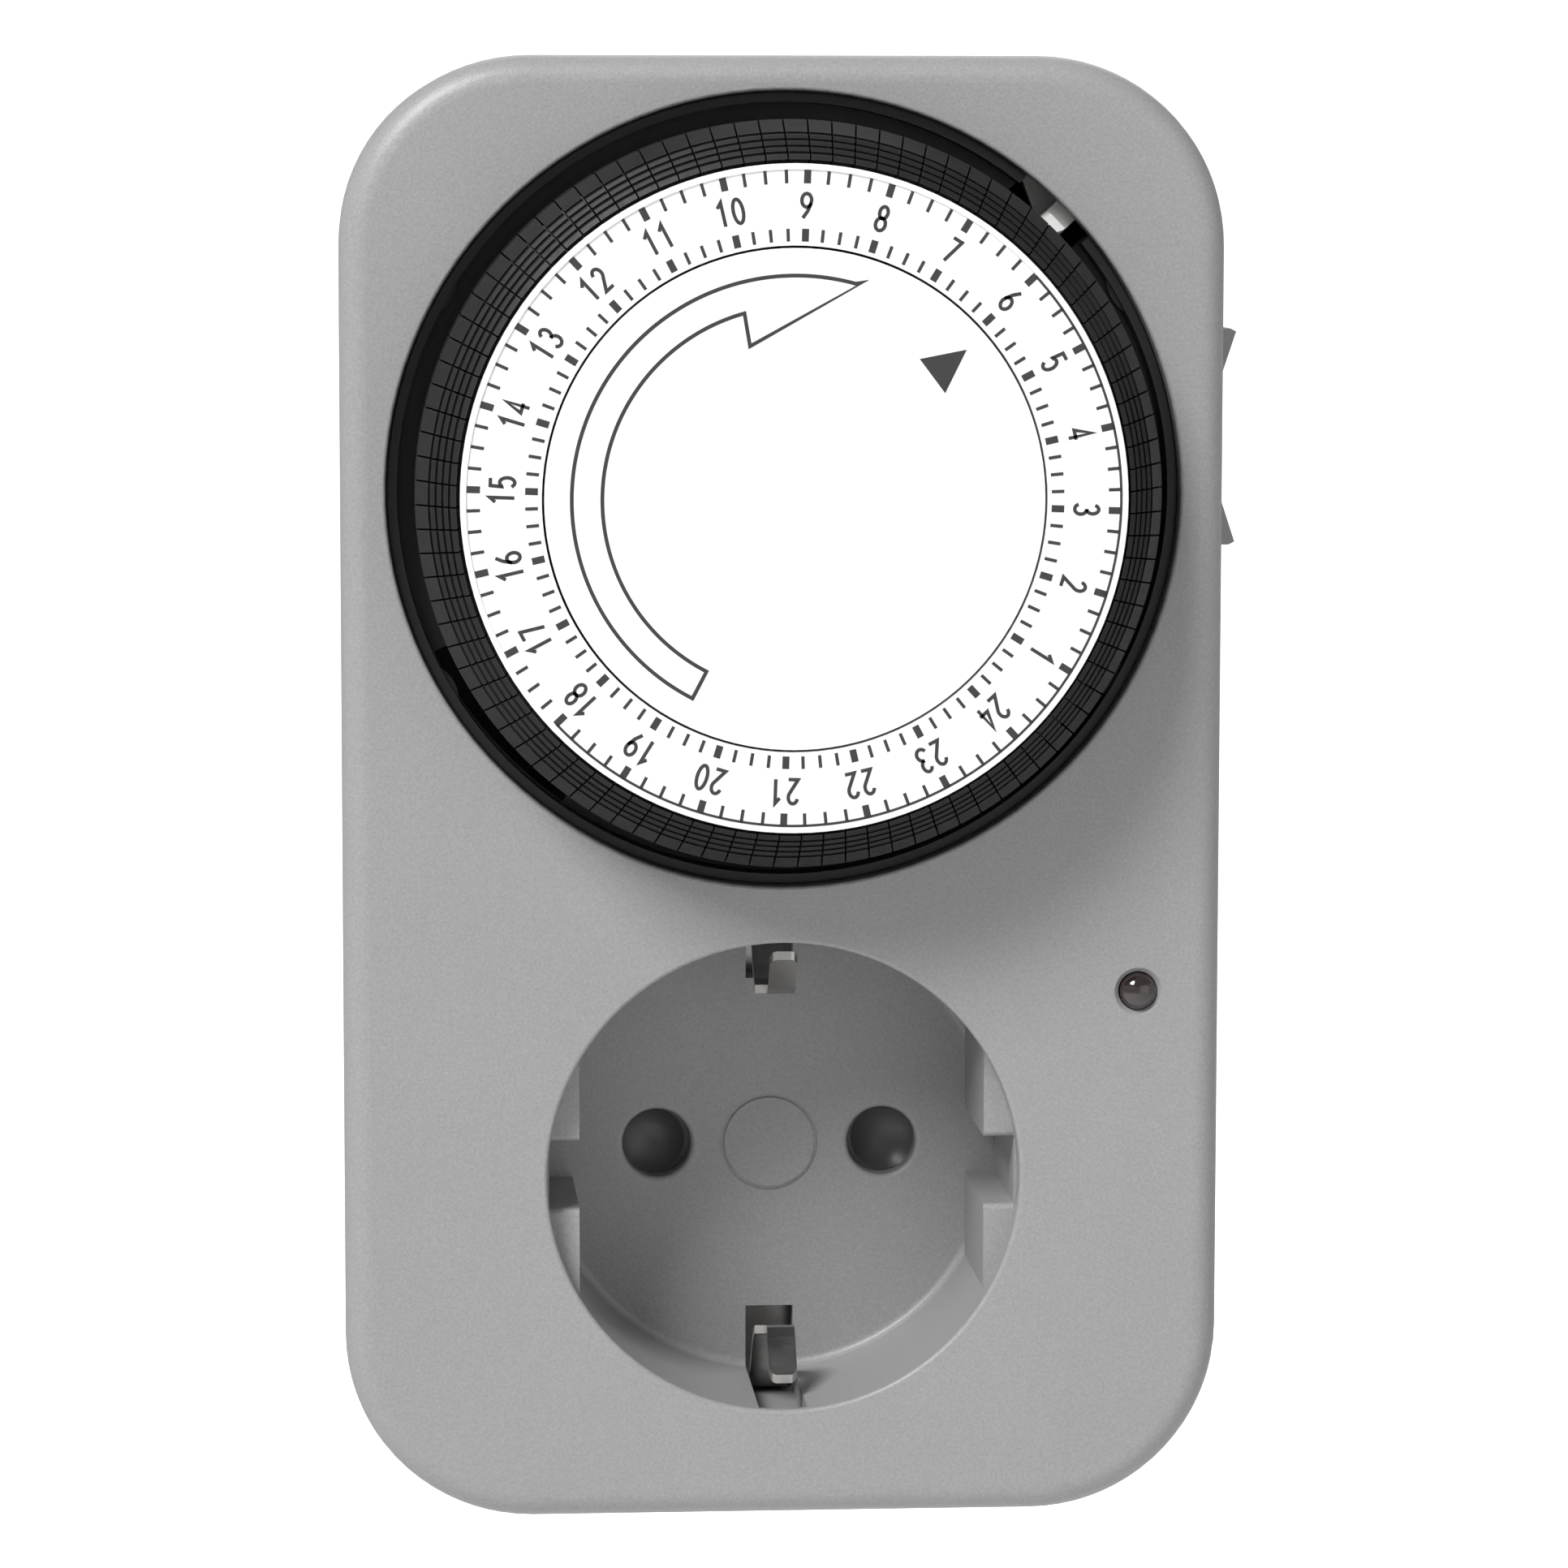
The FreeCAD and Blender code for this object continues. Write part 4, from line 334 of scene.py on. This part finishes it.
# %% A tree that prints a ring of marks
def ring_of_marks_tree():
    tree = bpy.data.node_groups.new("ring_of_marks", "GeometryNodeTree")
    make = tree.interface.new_socket
    make("Geometry", in_out="OUTPUT", socket_type="NodeSocketGeometry")
    for name, kind in (("Count", "Int"), ("Every", "Int"), ("Radius", "Float"), ("Length", "Float"),
                       ("Width", "Float"), ("Height", "Float"), ("Start", "Float")):
        make(name, in_out="INPUT", socket_type=f"NodeSocket{kind}")
    make("Hours", in_out="INPUT", socket_type="NodeSocketBool")
    make("Centre", in_out="INPUT", socket_type="NodeSocketVector")
    make("Ink", in_out="INPUT", socket_type="NodeSocketMaterial")

    def node(kind, settings=(), **links):
        made = tree.nodes.new(kind)
        for name, value in dict(settings).items():
            setattr(made, name, value)
        for name, value in links.items():
            key = int(name[1:]) if name[1:].isdigit() else name.replace("_", " ")
            socket = made.inputs[key]
            if isinstance(value, bpy.types.NodeSocket):
                tree.links.new(value, socket)
            else:
                socket.default_value = value
        return made

    given = node("NodeGroupInput").outputs
    circle = node("GeometryNodeMeshCircle", Vertices=given["Count"], Radius=given["Radius"])
    size = node("ShaderNodeCombineXYZ", X=given["Length"], Y=given["Width"], Z=given["Height"])
    bar = node("GeometryNodeMeshCube", Size=size.outputs[0])
    index = node("GeometryNodeInputIndex")
    step = node("ShaderNodeMath", {"operation": "DIVIDE"}, _0=math.tau, _1=given["Count"])
    angle = node("ShaderNodeMath", {"operation": "MULTIPLY"}, _0=index.outputs[0], _1=step.outputs[0])
    turn = node("ShaderNodeCombineXYZ", Z=angle.outputs[0])
    rest = node("ShaderNodeMath", {"operation": "MODULO"}, _0=index.outputs[0], _1=given["Every"])
    on_hour = node("FunctionNodeCompare", {"operation": "LESS_THAN"}, _0=rest.outputs[0], _1=0.5)
    chosen = node("FunctionNodeBooleanMath", {"operation": "XNOR"},
                  _0=on_hour.outputs[0], _1=given["Hours"])
    placed = node("GeometryNodeInstanceOnPoints", Points=circle.outputs[0], Selection=chosen.outputs[0],
                  Instance=bar.outputs[0], Rotation=turn.outputs[0])
    start = node("ShaderNodeCombineXYZ", Z=given["Start"])
    spun = node("GeometryNodeTransform", Geometry=placed.outputs[0], Rotation=start.outputs[0])
    stood = node("GeometryNodeTransform", Geometry=spun.outputs[0], Translation=given["Centre"],
                 Rotation=(math.radians(90), 0, 0))
    real = node("GeometryNodeRealizeInstances", Geometry=stood.outputs[0])
    inked = node("GeometryNodeSetMaterial", Geometry=real.outputs[0], Material=given["Ink"])
    node("NodeGroupOutput", Geometry=inked.outputs[0])
    return tree


marks_tree = ring_of_marks_tree()
print("tree", marks_tree.name, "with", len(marks_tree.nodes), "nodes")


# %% Run a tree and keep the mesh
def grown(name, tree, sizes):
    """A plain mesh object from a Geometry Nodes tree and its named sizes."""
    seed = bpy.data.objects.new(f"{name}_seed", bpy.data.meshes.new(f"{name}_seed"))
    bpy.context.scene.collection.objects.link(seed)
    modifier = seed.modifiers.new("grow", "NODES")
    modifier.node_group = tree
    for item in tree.interface.items_tree:
        if item.item_type == "SOCKET" and item.in_out == "INPUT":
            modifier[item.identifier] = sizes[item.name]
    ready = seed.evaluated_get(bpy.context.evaluated_depsgraph_get())
    mesh = bpy.data.meshes.new_from_object(ready)
    mesh.name = name
    bpy.data.objects.remove(seed)
    made = bpy.data.objects.new(name, mesh)
    bpy.context.scene.collection.objects.link(made)
    return made


ink_level = dial_face - INK_HEIGHT / 2
outer_scale = dict(Radius=25.32 * MM, Length=1.05 * MM)
inner_scale = dict(Radius=20.76 * MM, Length=1.0 * MM)
print_pieces = []
for label, ring in (("outer", outer_scale), ("inner", inner_scale)):
    for kind, hours, width in (("hour", True, 0.55 * MM), ("quarter", False, 0.26 * MM)):
        print_pieces.append(grown(f"{label}_{kind}_marks", marks_tree, dict(
            ring, Count=96, Every=4, Width=width, Height=INK_HEIGHT, Hours=hours,
            Start=math.radians(NINE_ANGLE), Centre=(dial_centre.x, ink_level, dial_centre.z), Ink=ink)))
print("marks", sum(len(piece.data.polygons) for piece in print_pieces), "faces")

# %% A place on the dial
def on_dial(angle, out, across=0.0):
    """A place on the dial: distance out along a direction, and distance across it."""
    turn = math.radians(angle)
    x = dial_centre.x + out * math.cos(turn) + across * math.sin(turn)
    z = dial_centre.z + out * math.sin(turn) - across * math.cos(turn)
    return Vector((x, dial_face, z))


def hour_angle(hour):
    return NINE_ANGLE + HOUR_ANGLE * (hour - 9)


# %% [markdown]
# Lines of even width, such as the night arc and the arrow, are thin closed prisms that
# follow a list of points.

# %% Printed lines
def printed_line(name, points, width, closed=False):
    """A thin closed prism of even width along points on the dial's face."""
    count = len(points)
    vertices = []
    for i, point in enumerate(points):
        before = points[i - 1] if (closed or i) else point
        after = points[(i + 1) % count] if (closed or i < count - 1) else point
        first = (point - before).normalized() if (point - before).length else None
        second = (after - point).normalized() if (after - point).length else None
        first = first or second
        second = second or first
        along = (first + second).normalized()
        side = Vector((along.z, 0, -along.x))
        corner = max(0.35, along.dot(first))
        for sign in (-1, 1):
            edge = point + side * (sign * width / 2 / corner)
            vertices += [edge, edge - Vector((0, INK_HEIGHT, 0))]
    faces = []
    for i in range(count if closed else count - 1):
        a, b = 4 * i, 4 * ((i + 1) % count)
        faces += [(a + 1, a + 3, b + 3, b + 1), (a, b, b + 2, a + 2),
                  (a, a + 1, b + 1, b), (a + 3, a + 2, b + 2, b + 3)]
    if not closed:
        last = 4 * (count - 1)
        faces += [(0, 2, 3, 1), (last, last + 1, last + 3, last + 2)]
    return solid(name, vertices, faces, ink)


def solid(name, vertices, faces, material):
    mesh = bpy.data.meshes.new(name)
    mesh.from_pydata([tuple(v) for v in vertices], [], faces)
    mesh.materials.append(material)
    made = bpy.data.objects.new(name, mesh)
    bpy.context.scene.collection.objects.link(made)
    face_out(made)
    return made


def face_out(piece):
    """Turns a closed mesh's faces outwards."""
    work = bmesh.new()
    work.from_mesh(piece.data)
    bmesh.ops.recalc_face_normals(work, faces=work.faces)
    work.to_mesh(piece.data)
    work.free()


def arc(radius, first, last, step=1.5):
    """Points along an arc on the dial's face."""
    count = max(2, round(abs(last - first) / step) + 1)
    return [on_dial(first + (last - first) * i / (count - 1), radius) for i in range(count)]


night = printed_line("night_arc", arc(25.78 * MM, hour_angle(18), hour_angle(30)), 0.2 * MM)
print_pieces.append(night)

# %% [markdown]
# The numerals read outwards from the middle of the dial. Each digit is drawn as a
# few strokes in a cell that runs from -0.5 to 0.5 across and from -1 to 1 up, so that it
# has the narrow, even look of pad printing.

# %% Numerals 1 to 24
def bow(x, y, wide, high, first, last, steps=14):
    """Points along part of an ellipse, in degrees."""
    turns = [math.radians(first + (last - first) * i / steps) for i in range(steps + 1)]
    return [(x + wide * math.cos(turn), y + high * math.sin(turn)) for turn in turns]


six = [(0.34, 1.0), (-0.12, 0.45), (-0.42, -0.15)] + bow(0, -0.45, 0.5, 0.55, 180, 520, 20)
STROKES = {
    "0": [bow(0, 0, 0.5, 1.0, 0, 360, 24)],
    "1": [[(-0.34, 0.56), (0.12, 1.0), (0.12, -1.0)]],
    "2": [bow(0, 0.48, 0.47, 0.52, 168, -32) + [(-0.48, -1.0), (0.5, -1.0)]],
    "3": [bow(-0.04, 0.5, 0.45, 0.5, 158, -90) + bow(-0.04, -0.5, 0.52, 0.5, 90, -158)],
    "4": [[(0.5, -0.42), (-0.5, -0.42), (0.2, 1.0), (0.2, -1.0)]],
    "5": [[(0.42, 1.0), (-0.36, 1.0), (-0.44, 0.06)] + bow(-0.02, -0.38, 0.5, 0.62, 132, -146)],
    "6": [six],
    "7": [[(-0.5, 1.0), (0.5, 1.0), (-0.14, -1.0)]],
    "8": [bow(0, 0.5, 0.42, 0.5, 0, 360, 20), bow(0, -0.48, 0.5, 0.52, 0, 360, 20)],
    "9": [[(-x, -y) for x, y in six]],
}


def numeral(hour, radius, height, width, stroke):
    """The strokes of one hour's number."""
    digits = str(hour)
    parts = []
    for i, digit in enumerate(digits):
        middle = (i - (len(digits) - 1) / 2) * width * 1.24
        for j, run in enumerate(STROKES[digit]):
            points = [on_dial(hour_angle(hour), radius + y * (height - stroke) / 2,
                              middle + x * (width - stroke)) for x, y in run]
            closed = (points[0] - points[-1]).length < stroke / 10
            if closed:
                points.pop()
            parts.append(printed_line(f"numeral_{hour}_{i}_{j}", points, stroke, closed))
    return parts


for hour in range(1, 25):
    print_pieces += numeral(hour, 23.05 * MM, 2.2 * MM, 1.05 * MM, 0.28 * MM)
print("printing", len(print_pieces), "pieces")

# %% One piece of printing for the turning ring
def joined(name, parts):
    """Several mesh objects made one."""
    bpy.ops.object.select_all(action="DESELECT")
    for part in parts:
        part.select_set(True)
    bpy.context.view_layer.objects.active = parts[0]
    bpy.ops.object.join()
    parts[0].name = name
    parts[0].data.name = name
    return parts[0]


dial_print = joined("dial_print", print_pieces)
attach(dial_print, "dial")
print("dial print", len(dial_print.data.polygons), "faces")

# %% [markdown]
# The fixed middle carries a clockwise arrow in outline, and a filled pointer that shows
# the time against the turning scale.

# %% Arrow and pointer
outline = arc(17.6 * MM, 242.5, 74.5)
outline.append(on_dial(72.5, 17.95 * MM))
outline.append(on_dial(106.6, 12.6 * MM))
outline += arc(15.2 * MM, 105.4, 242.5)
arrow = printed_line("turn_arrow", outline, 0.3 * MM, closed=True)


def filled(name, points):
    """A thin closed plate with the given corners on the dial's face."""
    count = len(points)
    vertices = list(points) + [point - Vector((0, INK_HEIGHT, 0)) for point in points]
    faces = [tuple(range(count)), tuple(range(2 * count - 1, count - 1, -1))]
    faces += [(i, (i + 1) % count, count + (i + 1) % count, count + i) for i in range(count)]
    return solid(name, vertices, faces, ink)


pointer_corners = ((41.2, 17.9), (48.6, 14.75), (35.4, 14.45))
pointer = filled("time_pointer", [on_dial(angle, out * MM) for angle, out in pointer_corners])
centre_print = joined("centre_print", [arrow, pointer])
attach(centre_print, "housing")
print("centre print", len(centre_print.data.polygons), "faces")

# %% [markdown]
# ## Floor, light and camera
#
# A pale shallow bowl stands for the floor and runs up round the object, far enough away
# that it never crosses the view. The light is soft and comes from the upper left.

# %% Pale floor
def pale_floor():
    paint = Paint("floor_pale")
    drift = paint.noise(0.6, 2.0)
    tint = paint.mix(drift, grey(0.90), grey(0.93))
    seen = paint.node("ShaderNodeLightPath", {}, {}, "Is Camera Ray")
    glow = paint.mix(seen, grey(0.05), grey(0.95))
    material = paint.finish(tint, 0.8 + drift * 0.1, drift, 0.0001, Emission_Strength=1.0)
    paint.feed(paint.shader.inputs["Emission Color"], glow)
    profile = [(0.0, -0.32), (1.2, -0.32), (1.7, -0.30), (2.1, -0.22), (2.5, 0.02), (2.7, 0.4), (2.8, 1.2)]
    segments = 64
    vertices = [(0, 0, profile[0][1])]
    for radius, z in profile[1:]:
        for i in range(segments):
            turn = math.tau * i / segments
            vertices.append((radius * math.cos(turn), radius * math.sin(turn), z))
    faces = [(0, 1 + i, 1 + (i + 1) % segments) for i in range(segments)]
    for ring in range(len(profile) - 2):
        a = 1 + ring * segments
        b = a + segments
        faces += [(a + i, b + i, b + (i + 1) % segments, a + (i + 1) % segments) for i in range(segments)]
    mesh = bpy.data.meshes.new("floor")
    mesh.from_pydata(vertices, [], faces)
    mesh.materials.append(material)
    mesh.shade_smooth()
    made = bpy.data.objects.new("floor", mesh)
    bpy.context.scene.collection.objects.link(made)
    return made


pale_floor()


# %% Studio light
def soft_light(name, place, size, power, aim):
    data = bpy.data.lights.new(name, "AREA")
    data.shape = "RECTANGLE"
    data.size, data.size_y = size
    data.energy = power
    lamp = bpy.data.objects.new(name, data)
    lamp.location = place
    lamp.rotation_mode = "QUATERNION"
    lamp.rotation_quaternion = (Vector(aim) - Vector(place)).to_track_quat("-Z", "Y")
    bpy.context.scene.collection.objects.link(lamp)


middle = (cad_box[0] + cad_box[1]) / 2
soft_light("key_light", (-0.65, -0.85, 1.05), (0.50, 0.50), 24, middle)
soft_light("fill_light", (0.9, -1.2, 0.10), (1.4, 1.4), 3, middle)
soft_light("back_light", (0.2, 1.2, 0.8), (1.0, 1.0), 5, middle)
world = bpy.data.worlds.new("studio_world")
world.use_nodes = True
world.node_tree.nodes["Background"].inputs["Color"].default_value = grey(1.0)
world.node_tree.nodes["Background"].inputs["Strength"].default_value = 0.22
bpy.context.scene.world = world
bpy.context.scene.view_settings.view_transform = "Standard"

# %% Camera
lens_data = bpy.data.cameras.new("camera")
lens_data.sensor_width = 36.0
lens_data.lens = 136.7
camera = bpy.data.objects.new("camera", lens_data)
right = Vector((0.9974, -0.0726, 0.0012)).normalized()
back = Vector((-0.0723, -0.9914, 0.1087)).normalized()
up = back.cross(right).normalized()
right = up.cross(back)
camera.matrix_world = Matrix((
    (right.x, up.x, back.x, -34.9 * MM),
    (right.y, up.y, back.y, -528.8 * MM),
    (right.z, up.z, back.z, 84.7 * MM),
    (0, 0, 0, 1)))
bpy.context.scene.collection.objects.link(camera)
bpy.context.scene.camera = camera
print("camera", [round(1000 * value, 1) for value in camera.location], "mm")
